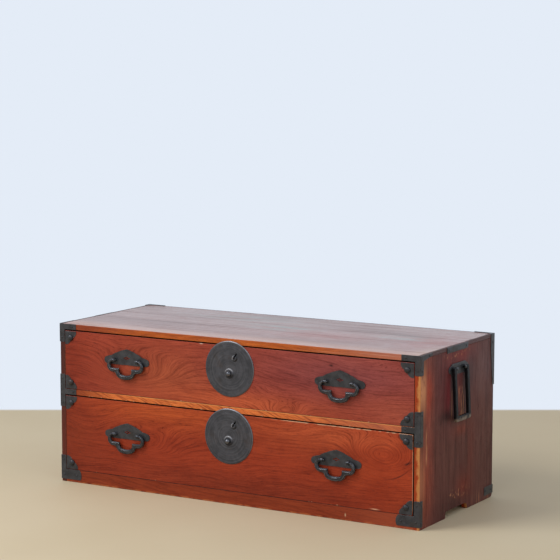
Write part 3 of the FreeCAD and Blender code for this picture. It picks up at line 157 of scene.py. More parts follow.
class Finish:
    """One material and the nodes that make it."""

    def __init__(self, name):
        self.material = bpy.data.materials.new(name)
        self.material.use_nodes = True
        self.tree = self.material.node_tree
        self.tree.nodes.clear()

    def node(self, kind, settings=None, sockets=None, output=0):
        return Value(self, add_node(self.tree, kind, settings, sockets)[output])

    def maths(self, operation, *values):
        return self.node("ShaderNodeMath", {"operation": operation}, dict(enumerate(values)))

    def capped(self, value):
        """The value, but never above 1."""
        return self.maths("MINIMUM", value, 1.0)

    def place(self):
        """The point's x, y and z on the chest, in metres."""
        self.point = self.node("ShaderNodeTexCoord", output="Object")
        return self.split(self.point)

    def split(self, vector):
        return [Value(self, part) for part in add_node(self.tree, "ShaderNodeSeparateXYZ", {}, {0: vector})]

    def join(self, x, y, z):
        return self.node("ShaderNodeCombineXYZ", {}, {0: x, 1: y, 2: z})

    def noise(self, point, scale=1.0, detail=2.0, rough=0.5, bend=0.0):
        return self.node("ShaderNodeTexNoise", {"noise_dimensions": "3D"}, {
            "Vector": point, "Scale": scale, "Detail": detail, "Roughness": rough, "Distortion": bend})

    def fade(self, value, low, high):
        """0 where the value is at low or beyond, 1 at high or beyond, and smooth between."""
        return self.node("ShaderNodeMapRange", {"interpolation_type": "SMOOTHSTEP"}, {
            "Value": value, "From Min": low, "From Max": high})

    def patches(self, point, low, high, scale=1.0, detail=2.0, rough=0.5):
        """Irregular patches: noise faded from 0 where it is low to 1 where it is high."""
        return self.fade(self.noise(point, scale, detail, rough), low, high)

    def within(self, value, low, high, soft):
        """1 between low and high, fading out over soft at either end."""
        return self.fade(value, low - soft, low + soft) * self.fade(value, high + soft, high - soft)

    def mound(self, across, along, middle, reach):
        """A smooth hill of height 1 round a middle, with a reach along each direction."""
        u = (across - middle[0]) / reach[0]
        v = (along - middle[1]) / reach[1]
        return self.maths("EXPONENT", (u * u + v * v) * -1)

    def blend(self, share, first, second):
        return self.node("ShaderNodeMix", {"data_type": "RGBA", "clamp_factor": True},
                         {0: share, 6: first, 7: second}, output=2)

    def tint(self, share, colour, factor):
        """Multiplies a colour by another, in full where share is 1."""
        settings = {"data_type": "RGBA", "blend_type": "MULTIPLY", "clamp_factor": True}
        return self.node("ShaderNodeMix", settings, {0: share, 6: colour, 7: factor}, output=2)

    def facing(self):
        """The x, y and z of the surface's own direction."""
        return self.split(self.node("ShaderNodeTexCoord", output="Normal"))

    def turned_to(self, share):
        """1 on faces turned to a direction, where share is the surface's own part along it."""
        return self.fade(share, 0.4, 0.8)

    def attribute(self, name):
        return self.node("ShaderNodeAttribute", {"attribute_name": name}, output="Fac")

    def close(self, colour, rough, height, depth, **constants):
        """Ends the finish in one shader. height is the relief in 0 to 1, and depth its size in metres."""
        bump = self.node("ShaderNodeBump", {}, {"Strength": 1.0, "Distance": depth, "Height": height})
        sockets = {"Base Color": colour, "Roughness": rough, "Normal": bump}
        sockets.update(constants)
        shader = self.node("ShaderNodeBsdfPrincipled", {}, sockets)
        self.node_output(shader)
        print("finish", self.material.name, "has", len(self.tree.nodes), "nodes")
        return self.material

    def node_output(self, shader):
        add_node(self.tree, "ShaderNodeOutputMaterial", {}, {"Surface": shader})


print("tone of white", tone(255, 255, 255))

# %% [markdown]
# The studio is a pale floor in an even, bluish-white surround. The camera sees the surround, and
# so do reflections, so that the iron and the lacquer show the same room. The plain light it gives
# the chest is weaker than it looks, which leaves the shaping to the lamps. One from the front left
# models the pulls, a smaller high one catches the iron's rims, and a weak one fills the right
# side. Their level lets a colour come out about as it was written.

# %% Studio
WALL = tone(228, 236, 247)
AMBIENT = 0.46
SEEING_RAYS = ("Is Camera Ray", "Is Glossy Ray", "Is Transmission Ray")
FLOOR_HALF = 9.0
FLOOR_END = 5.284
FLOOR_END_SOFT = 0.015
LAMP_AIM = Vector((0, 0, 0.2))

sky = bpy.data.worlds.new("studio_surround")
bpy.context.scene.world = sky
sky.use_nodes = True
sky.node_tree.nodes.clear()
rays = add_node(sky.node_tree, "ShaderNodeLightPath")
wall, seen = (add_node(sky.node_tree, "ShaderNodeBackground", {}, {"Color": colour, "Strength": strength})[0]
              for colour, strength in ((WALL, 1.0), (tone(246, 248, 255), AMBIENT)))
for ray in SEEING_RAYS:
    seen = add_node(sky.node_tree, "ShaderNodeMixShader", {}, {0: rays[ray], 1: seen, 2: wall})[0]
add_node(sky.node_tree, "ShaderNodeOutputWorld", {}, {"Surface": seen})

floor_mesh = bpy.data.meshes.new("floor")
floor_corners = [(x * FLOOR_HALF, y * FLOOR_HALF, 0) for x, y in ((-1, -1), (1, -1), (1, 1), (-1, 1))]
floor_mesh.from_pydata(floor_corners, [], [(0, 1, 2, 3)])
floor = bpy.data.objects.new("floor", floor_mesh)
bpy.context.scene.collection.objects.link(floor)
floor_finish = Finish("pale_floor")
floor_x, floor_y, floor_z = floor_finish.place()
away = (floor_x - CAMERA_PLACE.x) * -math.sin(CAMERA_TURN)
away = away + (floor_y - CAMERA_PLACE.y) * math.cos(CAMERA_TURN)
cloud = floor_finish.noise(floor_finish.point, 2.2, 3.0)
floor_colour = floor_finish.blend(cloud, tone(204, 187, 154), tone(216, 202, 172))
near_floor = floor_finish.node("ShaderNodeBsdfPrincipled", {}, {
    "Base Color": floor_colour, "Roughness": 0.7})
looked_at = 0.0
for ray in SEEING_RAYS:
    looked_at = floor_finish.maths("MAXIMUM", looked_at, floor_finish.node("ShaderNodeLightPath", output=ray))
far_wall = floor_finish.node("ShaderNodeEmission", {}, {
    "Color": WALL, "Strength": looked_at * (1 - AMBIENT) + AMBIENT})
beyond = floor_finish.fade(away, FLOOR_END - FLOOR_END_SOFT, FLOOR_END + FLOOR_END_SOFT)
floor_finish.node_output(floor_finish.node("ShaderNodeMixShader", {}, {
    0: beyond, 1: near_floor, 2: far_wall}))
floor.data.materials.append(floor_finish.material)


def softbox(name, turn, rise, distance, size, power, colour):
    """A square lamp that looks at the chest from a compass turn and a rise, in degrees."""
    lamp = bpy.data.lights.new(name, "AREA")
    lamp.shape = "SQUARE"
    lamp.size = size
    lamp.energy = power
    lamp.color = colour
    aim = compass(math.radians(turn), math.radians(rise))
    stand(name, lamp, aim * distance + LAMP_AIM, aim)


softbox("key_lamp", -36, 42, 3.4, 1.7, 63, (1.0, 0.985, 0.96))
softbox("glint_lamp", 14, 34, 3.2, 0.9, 7, (1.0, 0.99, 0.98))
softbox("side_fill", 75, 30, 3.4, 2.4, 11, (0.95, 0.98, 1.0))
print("floor ends", FLOOR_END, "m from the camera")

# %% [markdown]
# No board or forged strap has a perfectly sharp edge: the plane, the file and the hand all break
# it. The CAD pieces are exact and sharp, so each one is copied, its loose triangles are joined
# into whole faces, and a Bevel modifier breaks its edges. The new narrow faces are marked in an
# attribute called rubbed, because wear shows there first, and the copy stands for its CAD piece.

# %% Pieces with broken edges
WELD = 2e-6
FLAT_ANGLE = math.radians(0.3)
BREAK_ANGLE = math.radians(24)
INNER_WOOD_BREAK = 0.0005
IRON_BREAK = 0.0003


def whole_copy(node):
    """A mesh of the CAD piece with its triangles joined and flat faces made whole."""
    work = bmesh.new()
    work.from_mesh(nodes[node].data)
    bmesh.ops.remove_doubles(work, verts=work.verts, dist=WELD)
    bmesh.ops.dissolve_limit(work, angle_limit=FLAT_ANGLE, verts=work.verts, edges=work.edges)
    mesh = bpy.data.meshes.new("fitted_" + node)
    work.to_mesh(mesh)
    work.free()
    for name in ("custom_normal", "sharp_edge", "sharp_face"):
        if name in mesh.attributes:
            mesh.attributes.remove(mesh.attributes[name])
    return mesh


def settle(piece, node):
    """Applies the modifiers, then hands the piece to the body of the node it stands for."""
    graph = bpy.context.evaluated_depsgraph_get()
    made = bpy.data.meshes.new_from_object(piece.evaluated_get(graph))
    piece.modifiers.clear()
    made.name = piece.name
    piece.data = made
    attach(piece, body_of[node])
    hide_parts(node)


blank = bpy.data.materials.new("blank")


def break_edges(node, width, steps=2):
    """A copy of the node with every edge broken by width, and those narrow faces marked as rubbed."""
    mesh = whole_copy(node)
    piece = bpy.data.objects.new("fitted_" + node, mesh)
    bpy.context.scene.collection.objects.link(piece)
    mesh.materials.append(blank)
    mesh.materials.append(blank)
    for face in mesh.polygons:
        face.use_smooth = True
        face.material_index = 0
    bevel = piece.modifiers.new("broken_edges", "BEVEL")
    bevel.width = width
    bevel.segments = steps
    bevel.limit_method = "ANGLE"
    bevel.angle_limit = BREAK_ANGLE
    bevel.material = 1
    bevel.harden_normals = True
    settle(piece, node)
    mesh = piece.data
    mark = mesh.attributes.new("rubbed", "FLOAT", "CORNER")
    for face in mesh.polygons:
        share = float(face.material_index == 1)
        for corner in face.loop_indices:
            mark.data[corner].value = share
        face.material_index = 0
    mesh.materials.clear()
    return piece


BOARD_BREAK = {
    "top_board": 0.0011, "left_side_panel": 0.0011, "right_side_panel": 0.0011,
    "middle_rail": 0.0006, "bottom_rail": 0.0010,
    "upper_drawer_front": 0.0009, "lower_drawer_front": 0.0009,
}
pieces = {}
for node, width in BOARD_BREAK.items():
    pieces[node] = break_edges(node, width)
for node, slot in slot_of.items():
    if node in pieces or node.endswith("nails"):
        continue
    if slot == "inner_wood":
        pieces[node] = break_edges(node, INNER_WOOD_BREAK, 1)
    elif slot == "forged_iron":
        pieces[node] = break_edges(node, IRON_BREAK)
for node, piece in pieces.items():
    print(piece.name, len(piece.data.polygons), "faces")

# %% [markdown]
# A board shows the layers of the tree it was cut from. Think of the board's face as a map: every
# growth ring is a contour line of a gently rolling ground. Where the ground is even the lines run
# straight, a low hill bends them into a flame, and a higher hill closes them into ovals. So the
# grain is made as irregular noise over that ground's height, which follows its contours as real
# rings do, some broad and faint and some fine and dark. Named areas give the board its changes
# of colour, and narrow dark edges are the dirt and polish that gather at every crack.

# %% Timber
AXES = {"x": 0, "y": 1, "z": 2}
WOOD_RELIEF = 0.00022
SLOW_SWAY = 0.060
QUICK_SWAY = 0.0035
DARK_GRAIN = (0.50, 0.40, 0.38, 1.0)
LIGHT_GRAIN = (1.30, 1.42, 1.36, 1.0)


def timber(name, along, across, lines, base, hills=(), areas=(), slope=0.0, tilt=0.6, figure=0.6,
           fine=0.55, rough=0.36, coat=0.0, ior=1.25, edge=tone(58, 24, 18), edge_share=0.8,
           marks=None, bare=None, seed=0.0):
    """A finish for boards whose grain runs along one axis of the chest.

    lines is about the number of grain lines in a metre. hills are (middle, reach, height) of the
    ground and areas are (middle, reach, colour, share) of the base colour. slope turns the lines,
    tilt carries them through the board, and coat is the polish on upward faces, which is gone where
    bare is 1. marks adds what only this board has."""
    wood = Finish(name)
    axes = wood.place()
    run = axes[AXES[along]]
    rise = axes[AXES[across]]
    depth = axes[3 - AXES[along] - AXES[across]]
    slow = wood.noise(wood.join(run * 2.6 + seed, rise * 9.0, depth * 9.0), 1.0, 2.0, 0.5, 0.3)
    quick = wood.noise(wood.join(run * 16.0 + seed, rise * 70.0, depth * 70.0), 1.0, 3.0)
    ground = rise + depth * tilt + run * slope + (slow - 0.5) * SLOW_SWAY + (quick - 0.5) * QUICK_SWAY
    for middle, reach, height in hills:
        ground = ground + wood.mound(run, rise, middle, reach) * height
    rings = wood.noise(wood.join(run * 8.0 + seed, ground * lines, seed), 1.0, 4.0, 0.68)
    threads = wood.noise(wood.join(run * 24.0, ground * (lines * 3.2), seed), 1.0, 3.0, 0.6)
    pores = wood.patches(wood.join(run * 110.0, ground * 1500.0, seed), 0.60, 0.70, 1.0, 1.0)
    cloud = wood.noise(wood.join(run * 8.0 + seed, rise * 20.0, depth * 20.0), 1.0, 4.0, 0.6)
    colour = base
    for middle, reach, area, share in areas:
        colour = wood.blend(wood.mound(run, rise, middle, reach) * share, colour, area)
    colour = wood.tint(wood.fade(cloud, 0.52, 0.30) * 0.55, colour, (0.70, 0.58, 0.62, 1.0))
    colour = wood.tint(wood.fade(cloud, 0.52, 0.74) * 0.45, colour, (1.16, 1.26, 1.18, 1.0))
    colour = wood.tint(wood.fade(rings, 0.50, 0.30) * figure, colour, DARK_GRAIN)
    colour = wood.tint(wood.fade(rings, 0.52, 0.72) * figure, colour, LIGHT_GRAIN)
    colour = wood.tint(wood.fade(threads, 0.50, 0.68) * fine, colour, DARK_GRAIN)
    colour = wood.tint(wood.fade(threads, 0.50, 0.34) * fine * 0.6, colour, LIGHT_GRAIN)
    colour = wood.tint(pores * 0.75, colour, DARK_GRAIN)
    smudge = wood.noise(wood.point, 38.0, 4.0, 0.6)
    rubbed = wood.attribute("rubbed")
    colour = wood.blend(rubbed * wood.fade(smudge, 0.25, 0.60) * edge_share, colour, edge)
    roughness = rough + (smudge - 0.5) * 0.22 + pores * 0.15 + rubbed * 0.1
    relief = threads * 0.35 + rings * 0.25 - pores * 0.5 + smudge * 0.6
    if marks:
        colour, roughness = marks(wood, axes, colour, roughness)
    shine = {"IOR": ior}
    if coat:
        shine["Coat Weight"] = wood.turned_to(wood.facing()[2]) * coat * (1 - bare(wood, axes))
        shine["Coat Roughness"] = 0.25
    return wood.close(colour, roughness, relief, WOOD_RELIEF, **shine)


def dress(material, *names):
    """Puts one finish on pieces, which are fitted copies or CAD pieces."""
    for name in names:
        piece = pieces.get(name) or nodes[name]
        piece.data.materials.clear()
        piece.data.materials.append(material)


# %% [markdown]
# The drawer fronts are the show pieces, cut from figured boards. The upper one has a flame round
# its left pull, a low arch right of the lock and a plum cast at its right end, which is painted
# sheen. The lower one closes into ovals at its right end, with two dark strokes beside them. The
# lacquer is thickest and darkest at the ends and along the bottom, where nobody polished. The
# first few millimetres of every crack are painted shade, which is why the cracks read as dark
# lines, and behind that the front's narrow edges and its inner face are bare brown wood.

# %% Drawer fronts
# Painted shade: the colour of the first few millimetres inside every crack.
CRACK_SHADE = tone(22, 12, 10)
CRACK_SHADE_DEPTH = 0.0040
INNER_WOOD = tone(134, 100, 70)
CORNER_STAIN = (0.036, 0.034)


def crack_shade_and_bare_wood(wood, axes, colour, front):
    """Paints shade into the mouth of the crack round a face, and leaves the wood behind it bare."""
    turned = wood.facing()
    side_on = wood.fade(wood.maths("ABSOLUTE", turned[1]), 0.62, 0.30)
    deep = wood.fade(axes[1], front + 0.0004, front + 0.0016)
    behind = wood.fade(axes[1] + (wood.noise(wood.point, 60.0, 3.0) - 0.5) * 0.004,
                       front + CRACK_SHADE_DEPTH, front + CRACK_SHADE_DEPTH * 2)
    grain = wood.patches(wood.join(axes[0] * 12.0, axes[1] * 90.0, axes[2] * 90.0), 0.4, 0.7, 1.0, 3.0)
    inner = wood.tint(grain * 0.5, INNER_WOOD, DARK_GRAIN)
    return wood.blend(wood.maths("MAXIMUM", side_on * 0.92, deep), colour, wood.blend(behind, CRACK_SHADE, inner))


def darkened_round_irons(wood, x, z, colour, drawer):
    """Darkens the wood in ragged patches round the pull plates and at a drawer's corners."""
    low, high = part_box(drawer + "_drawer_front")
    spots = [((end, level), CORNER_STAIN) for end in (low.x, high.x) for level in (low.z, high.z)]
    for side in ("left", "right"):
        least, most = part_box(f"{drawer}_{side}_pull_plate")
        spots.append((((least.x + most.x) / 2, (least.z + most.z) / 2),
                      ((most.x - least.x) * 0.56, (most.z - least.z) * 0.62)))
    cast = 0.0
    for middle, reach in spots:
        cast = wood.maths("MAXIMUM", cast, wood.mound(x, z, middle, reach))
    patchy = wood.patches(wood.point, 0.30, 0.66, 45.0, 3.0, 0.6)
    return wood.tint(cast * patchy * 0.6, colour, (0.42, 0.36, 0.46, 1.0))


def stroke(wood, x, z, middle, reach, turn, bow):
    """A short dark curved mark: a narrow hill on turned and bent directions."""
    cos, sin = math.cos(turn), math.sin(turn)
    u = (x - middle[0]) * cos + (z - middle[1]) * sin
    v = (z - middle[1]) * cos - (x - middle[0]) * sin - u * u * bow
    return wood.mound(u, v, (0.0, 0.0), reach)


def chips(wood, gap, depth, scale=150.0, share=0.64):
    """Small flakes of lost lacquer close to an edge, where gap is the distance from that edge."""
    return wood.fade(gap, depth, 0.0) * wood.patches(wood.point, share, share + 0.05, scale, 2.0, 0.6)


def upper_marks(wood, axes, colour, roughness):
    x, y, z = axes
    low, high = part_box("upper_drawer_front")
    colour = darkened_round_irons(wood, x, z, colour, "upper")
    knot = wood.mound(x, z, (0.2475, 0.3270), (0.0042, 0.0026))
    colour = wood.blend(knot * 0.9, colour, tone(44, 20, 24))
    speck = wood.mound(x, z, (-0.0755, high.z - 0.0012), (0.0036, 0.0010))
    lost = wood.capped(speck + chips(wood, z - low.z, 0.0022))
    colour = wood.blend(lost * 0.85, colour, tone(226, 200, 178))
    return crack_shade_and_bare_wood(wood, axes, colour, low.y), roughness + lost * 0.2


def lower_marks(wood, axes, colour, roughness):
    x, y, z = axes
    low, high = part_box("lower_drawer_front")
    colour = darkened_round_irons(wood, x, z, colour, "lower")
    long_mark = stroke(wood, x, z, (0.4080, 0.1080), (0.0260, 0.0012), math.radians(27), 5.0)
    short_mark = stroke(wood, x, z, (0.4270, 0.1370), (0.0090, 0.0023), math.radians(24), 0.0)
    colour = wood.blend(long_mark * 0.75 + short_mark * 0.85, colour, tone(48, 22, 22))
    uneven = wood.patches(wood.point, 0.36, 0.56, 60.0)
    line = wood.fade(high.z - z, 0.0021, 0.0011) * wood.fade(x, 0.02, 0.20) * uneven
    line = line + wood.fade(high.x - x, 0.0018, 0.0008) * uneven * 0.6
    flake = wood.mound(x, z, (0.3520, low.z + 0.0030), (0.0085, 0.0012))
    lost = wood.capped(line + flake + chips(wood, z - low.z, 0.0025))
    colour = wood.blend(lost * 0.85, colour, tone(224, 176, 140))
    return crack_shade_and_bare_wood(wood, axes, colour, low.y), roughness + lost * 0.2


UPPER_HILLS = [
    ((-0.262, 0.268), (0.086, 0.036), 0.070),
    ((0.130, 0.212), (0.060, 0.030), 0.034),
    ((-0.060, 0.300), (0.150, 0.040), -0.018),
    ((0.340, 0.290), (0.130, 0.040), 0.020),
]
UPPER_AREAS = [
    ((-0.160, 0.270), (0.120, 0.060), tone(170, 84, 54), 0.7),
    ((0.030, 0.228), (0.180, 0.022), tone(192, 90, 54), 0.9),
    # The plum area at the right end is painted sheen.
    ((0.280, 0.310), (0.260, 0.060), tone(144, 74, 74), 0.85),
    ((-0.440, 0.290), (0.080, 0.080), tone(134, 48, 30), 0.8),
    ((0.410, 0.240), (0.090, 0.030), tone(172, 84, 66), 0.8),
]
LOWER_HILLS = [
    ((0.378, 0.142), (0.080, 0.040), 0.100),
    ((-0.215, 0.108), (0.078, 0.034), 0.056),
    ((0.120, 0.170), (0.140, 0.035), 0.026),
    ((-0.370, 0.140), (0.080, 0.050), 0.022),
]
LOWER_AREAS = [
    ((-0.170, 0.185), (0.180, 0.034), tone(184, 82, 40), 0.85),
    ((0.180, 0.172), (0.240, 0.040), tone(174, 76, 44), 0.75),
    ((0.360, 0.110), (0.110, 0.060), tone(158, 62, 34), 0.8),
    ((-0.440, 0.110), (0.100, 0.090), tone(126, 48, 28), 0.8),
    ((0.000, 0.042), (0.420, 0.030), tone(130, 50, 31), 0.8),
    ((0.400, 0.130), (0.110, 0.090), tone(172, 66, 36), 0.7),
    ((0.300, 0.182), (0.120, 0.020), tone(188, 86, 52), 0.8),
]
dress(timber("upper_front_lacquer", "x", "z", 250.0, tone(154, 64, 46), UPPER_HILLS, UPPER_AREAS, 0.01,
             marks=upper_marks, seed=1.7), "upper_drawer_front")
dress(timber("lower_front_lacquer", "x", "z", 240.0, tone(153, 57, 33), LOWER_HILLS, LOWER_AREAS, -0.04,
             marks=lower_marks, seed=6.3), "lower_drawer_front")

# %% [markdown]
# The top, the rails and the side panels share one lacquer, but not one age. The edges that hands
# and cloths reach have gone orange and tan. The broad sides have darkened almost to brown, with
# redder clouds where they were wiped, tan wear down the front edge and a few scraped marks, and
# painted shadow of the handle and painted shade low between the feet. The top shows two lines
# where its boards are glued and blackened rims at its ends and back. Its polish is a coat on the
# faces that look up, dulled by streaks and clouds and gone at those lines, and its pale grey-pink
# clouds and grey-green patches are painted sheen.

# %% Case boards
def streaks_of(wood, run, across, seed, low, high, fineness=170.0):
    """Long thin irregular streaks along run."""
    return wood.patches(wood.join(run * 3.0 + seed, across * fineness, seed), low, high, 1.0, 3.0, 0.6)


GLUE_LINES = (0.1430, 0.2307)
GLUE_HALF = 0.0008
# Painted sheen: grey-green patches on the top's upward face.
TOP_SHEEN_PATCHES = [
    ((0.015, 0.015), (0.085, 0.036), 0.95),
    ((0.320, 0.023), (0.060, 0.030), 0.95),
    ((-0.130, 0.110), (0.150, 0.046), 0.75),
]


def top_lines(wood, axes):
    """The glue lines between the top's boards, and its blackened rims at both ends and the back."""
    x, y, z = axes
    low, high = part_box("top_board")
    ragged = (wood.noise(wood.point, 45.0, 3.0) - 0.5) * 0.008
    lines = wood.fade(x + ragged, low.x + 0.0090, low.x + 0.0050)
    lines = lines + wood.fade(x + ragged, high.x - 0.0090, high.x - 0.0045)
    lines = lines + wood.fade(y + ragged, high.y - 0.0080, high.y - 0.0030)
    for line in GLUE_LINES:
        lines = lines + wood.within(y, low.y + line - GLUE_HALF, low.y + line + GLUE_HALF, GLUE_HALF)
    return wood.capped(lines)


def top_wear(wood, axes):
    """The top's dark streaks, and its pale clouds where the lacquer has lost colour; top_marks paints these
    clouds grey-pink as sheen.
    """
    x, y, z = axes
    faded_sheen_clouds = wood.patches(wood.join(x * 3.4, y * 10.0, 3.0), 0.44, 0.66)
    return streaks_of(wood, x, y, 2.0, 0.50, 0.70), faded_sheen_clouds


def top_bare(wood, axes):
    """Where the top's polish has gone: along its lines, and in streaks and clouds."""
    streaks, faded_sheen_clouds = top_wear(wood, axes)
    return wood.maths("MAXIMUM", top_lines(wood, axes) * 0.95, faded_sheen_clouds * 0.3 + streaks * 0.5)


def top_marks(wood, axes, colour, roughness):
    x, y, z = axes
    low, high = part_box("top_board")
    turned = wood.facing()
    upward = wood.turned_to(turned[2])
    sideways = wood.turned_to(wood.maths("ABSOLUTE", turned[0]))
    streaks, faded_sheen_clouds = top_wear(wood, axes)
    broad = streaks_of(wood, x, y, 7.0, 0.46, 0.66, 34.0)
    top_colour = wood.blend(streaks * 0.60, tone(144, 98, 86), tone(76, 46, 45))
    top_colour = wood.blend(broad * 0.35, top_colour, tone(118, 66, 58))
    # The faded clouds also dull the polish, and their grey-pink colour is painted sheen.
    top_colour = wood.blend(faded_sheen_clouds * 0.50, top_colour, tone(158, 146, 148))
    blush = wood.mound(x, y, (0.140, -0.030), (0.150, 0.055))
    blush = blush + wood.mound(x, y, (0.400, -0.010), (0.06, 0.10))
    top_colour = wood.blend(wood.capped(blush) * 0.70, top_colour, tone(158, 80, 66))
    ragged = wood.patches(wood.join(x * 7.0, y * 46.0, 5.0), 0.42, 0.60, 1.0, 4.0, 0.65)
    # Grey-green patches painted as sheen.
    for middle, reach, share in TOP_SHEEN_PATCHES:
        sheen_patch = wood.mound(x, y, middle, reach) * ragged * share
        top_colour = wood.blend(sheen_patch, top_colour, tone(138, 141, 136))
    handled = wood.fade(y, low.y + 0.075, low.y + 0.010) * wood.fade(streaks, 0.9, 0.1)
    top_colour = wood.blend(handled * 0.7, top_colour, tone(200, 150, 130))
    worn = wood.fade(high.x - x, 0.060, 0.004) * wood.fade(y, low.y + 0.16, low.y + 0.04)
    top_colour = wood.blend(worn * 0.6, top_colour, tone(196, 160, 138))
    lines = top_lines(wood, axes)
    top_colour = wood.blend(lines * 0.85, top_colour, tone(46, 29, 29))
    dark_end = wood.fade(x, -0.18, -0.42) * 0.75
    front_colour = wood.blend(dark_end, colour, tone(120, 46, 32))
    pale = streaks_of(wood, x, z, 4.0, 0.54, 0.66, 420.0) * wood.fade(x, 0.10, 0.40)
    front_colour = wood.blend(wood.fade(x, 0.16, 0.42) * 0.55, front_colour, tone(178, 118, 104))
    front_colour = wood.blend(pale * 0.6, front_colour, tone(214, 158, 138))
    end_colour = wood.blend(streaks_of(wood, y, z, 1.0, 0.4, 0.7, 60.0), tone(84, 46, 44), tone(112, 58, 52))
    end_colour = wood.tint(1.0, end_colour, (0.9, 0.9, 0.9, 1.0))
    colour = wood.blend(sideways, wood.blend(upward, front_colour, top_colour), end_colour)
    return colour, roughness + upward * (streaks * 0.14 + faded_sheen_clouds * 0.16 + lines * 0.30)


def rail_marks(wood, axes, colour, roughness):
    x, y, z = axes
    low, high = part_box("middle_rail")
    slanted = streaks_of(wood, x * 4.0, z + x * 0.42, 5.0, 0.46, 0.62, 230.0)
    colour = wood.blend(slanted * 0.65, colour, tone(122, 48, 28))
    colour = wood.blend(wood.fade(x, 0.12, 0.38) * 0.40, colour, tone(186, 112, 90))
    # A painted highlight along the rail's top edge, fading out towards the left end.
    crest_highlight = wood.fade(high.z - z, 0.0022, 0.0010) * wood.fade(x, -0.40, -0.20)
    colour = wood.blend(crest_highlight * 0.6, colour, tone(232, 160, 96))
    colour = wood.blend(wood.fade(x, -0.30, -0.42) * 0.8, colour, tone(124, 48, 28))
    lost = chips(wood, z - low.z, 0.0022, 140.0, 0.62)
    colour = wood.blend(lost * 0.8, colour, tone(228, 196, 164))
    return crack_shade_and_bare_wood(wood, axes, colour, low.y), roughness + lost * 0.2


def bottom_rail_marks(wood, axes, colour, roughness):
    x, y, z = axes
    low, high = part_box("bottom_rail")
    foot = wood.fade(z, 0.0050, 0.0015) * wood.patches(wood.point, 0.40, 0.60, 40.0)
    colour = wood.blend(foot * 0.6, colour, tone(196, 116, 66))
    colour = wood.blend(wood.fade(x, 0.20, 0.42) * 0.45, colour, tone(170, 84, 58))
    nick = wood.mound(x, z, (0.282, 0.012), (0.0014, 0.0030))
    colour = wood.blend(nick * 0.8, colour, tone(224, 190, 150))
    return crack_shade_and_bare_wood(wood, axes, colour, low.y), roughness + foot * 0.1


def side_marks(hand):
    """What has happened to a side panel: hand is 1 for the right one and -1 for the left."""
    low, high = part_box("right_side_panel" if hand > 0 else "left_side_panel")

    def marks(wood, axes, colour, roughness):
        x, y, z = axes
        from_front = y - low.y
        forward = wood.turned_to(wood.facing()[1] * -1)
        streaks = streaks_of(wood, z, y, 3.0 + hand, 0.48, 0.68, 95.0)
        side = wood.tint(streaks * 0.75, colour, (0.52, 0.50, 0.54, 1.0))
        fine_streaks = streaks_of(wood, z * 2.0, y, 9.0, 0.50, 0.62, 320.0)
        side = wood.tint(fine_streaks * 0.45, side, (0.60, 0.56, 0.58, 1.0))
        handled = wood.mound(from_front, z, (0, 0.290), (0.06, 0.045))
        handled = handled + wood.mound(from_front, z, (0, 0.100), (0.03, 0.06)) * 0.4
        ragged = wood.patches(wood.join(x, y * 60.0, z * 22.0 + hand), 0.28, 0.46, 1.0, 4.0, 0.65)
        worn = wood.fade(from_front, 0.034, 0.018) * ragged * handled
        broken = wood.patches(wood.join(x, y * 160.0, z * 20.0), 0.34, 0.52)
        line = wood.within(from_front, 0.0265, 0.0325, 0.003) * wood.within(z, 0.135, 0.205, 0.012) * broken
        scraped = wood.within(from_front, 0.1460, 0.1490, 0.001) * wood.within(z, 0.212, 0.268, 0.008)
        second = wood.within(from_front, 0.2035, 0.2065, 0.001) * wood.within(z, 0.206, 0.252, 0.008)
        scratches = wood.within(from_front, 0.1800, 0.2060, 0.003) * wood.within(z, 0.206, 0.272, 0.006)
        scratches = scratches * wood.patches(wood.join(x, y * 300.0, z * 34.0), 0.52, 0.66)
        specks = wood.within(z, 0.339, 0.350, 0.003) * wood.within(from_front, 0.112, 0.232, 0.008)
        lower = wood.within(z, 0.034, 0.054, 0.004) * wood.within(from_front, 0.138, 0.236, 0.008)
        specks = (specks + lower * 0.8) * wood.patches(wood.point, 0.60, 0.68, 210.0, 1.0)
        foot = wood.fade(z, 0.040, 0.004) * streaks_of(wood, z * 2.0, y, 6.0, 0.56, 0.66, 110.0)
        foot = foot * wood.capped(wood.fade(from_front, 0.236, 0.246) + wood.fade(from_front, 0.065, 0.030))
        scraped = (scraped + second + scratches) * 0.6
        bare = wood.capped(worn + line * 0.7 + scraped + specks * 0.75 + foot * 0.65)
        side = wood.blend(bare, side, tone(214, 148, 108))
        rear = wood.fade(y, high.y - 0.0060, high.y - 0.0020)
        side = wood.blend(rear * 0.75, side, tone(44, 30, 32))
        if hand > 0:
            ragged = wood.noise(wood.join(x * 60.0, y, z * 42.0), 1.0, 4.0, 0.65)
            outer = wood.fade((ragged - 0.5) * 0.026 + high.x - x, 0.0100, 0.0020)
            face = wood.blend(outer * 0.85, tone(160, 64, 32), tone(208, 146, 88))
            face = wood.tint(wood.fade(ragged, 0.5, 0.34) * 0.4, face, (0.72, 0.6, 0.5, 1.0))
            streaks = streaks_of(wood, z * 3.0, x, 4.0, 0.44, 0.66, 420.0)
            face = wood.tint(streaks * 0.5, face, (0.70, 0.56, 0.48, 1.0))
        else:
            face = wood.blend(0.3, tone(62, 30, 24), colour)
        return wood.blend(forward, side, face), roughness + bare * 0.15

    return marks


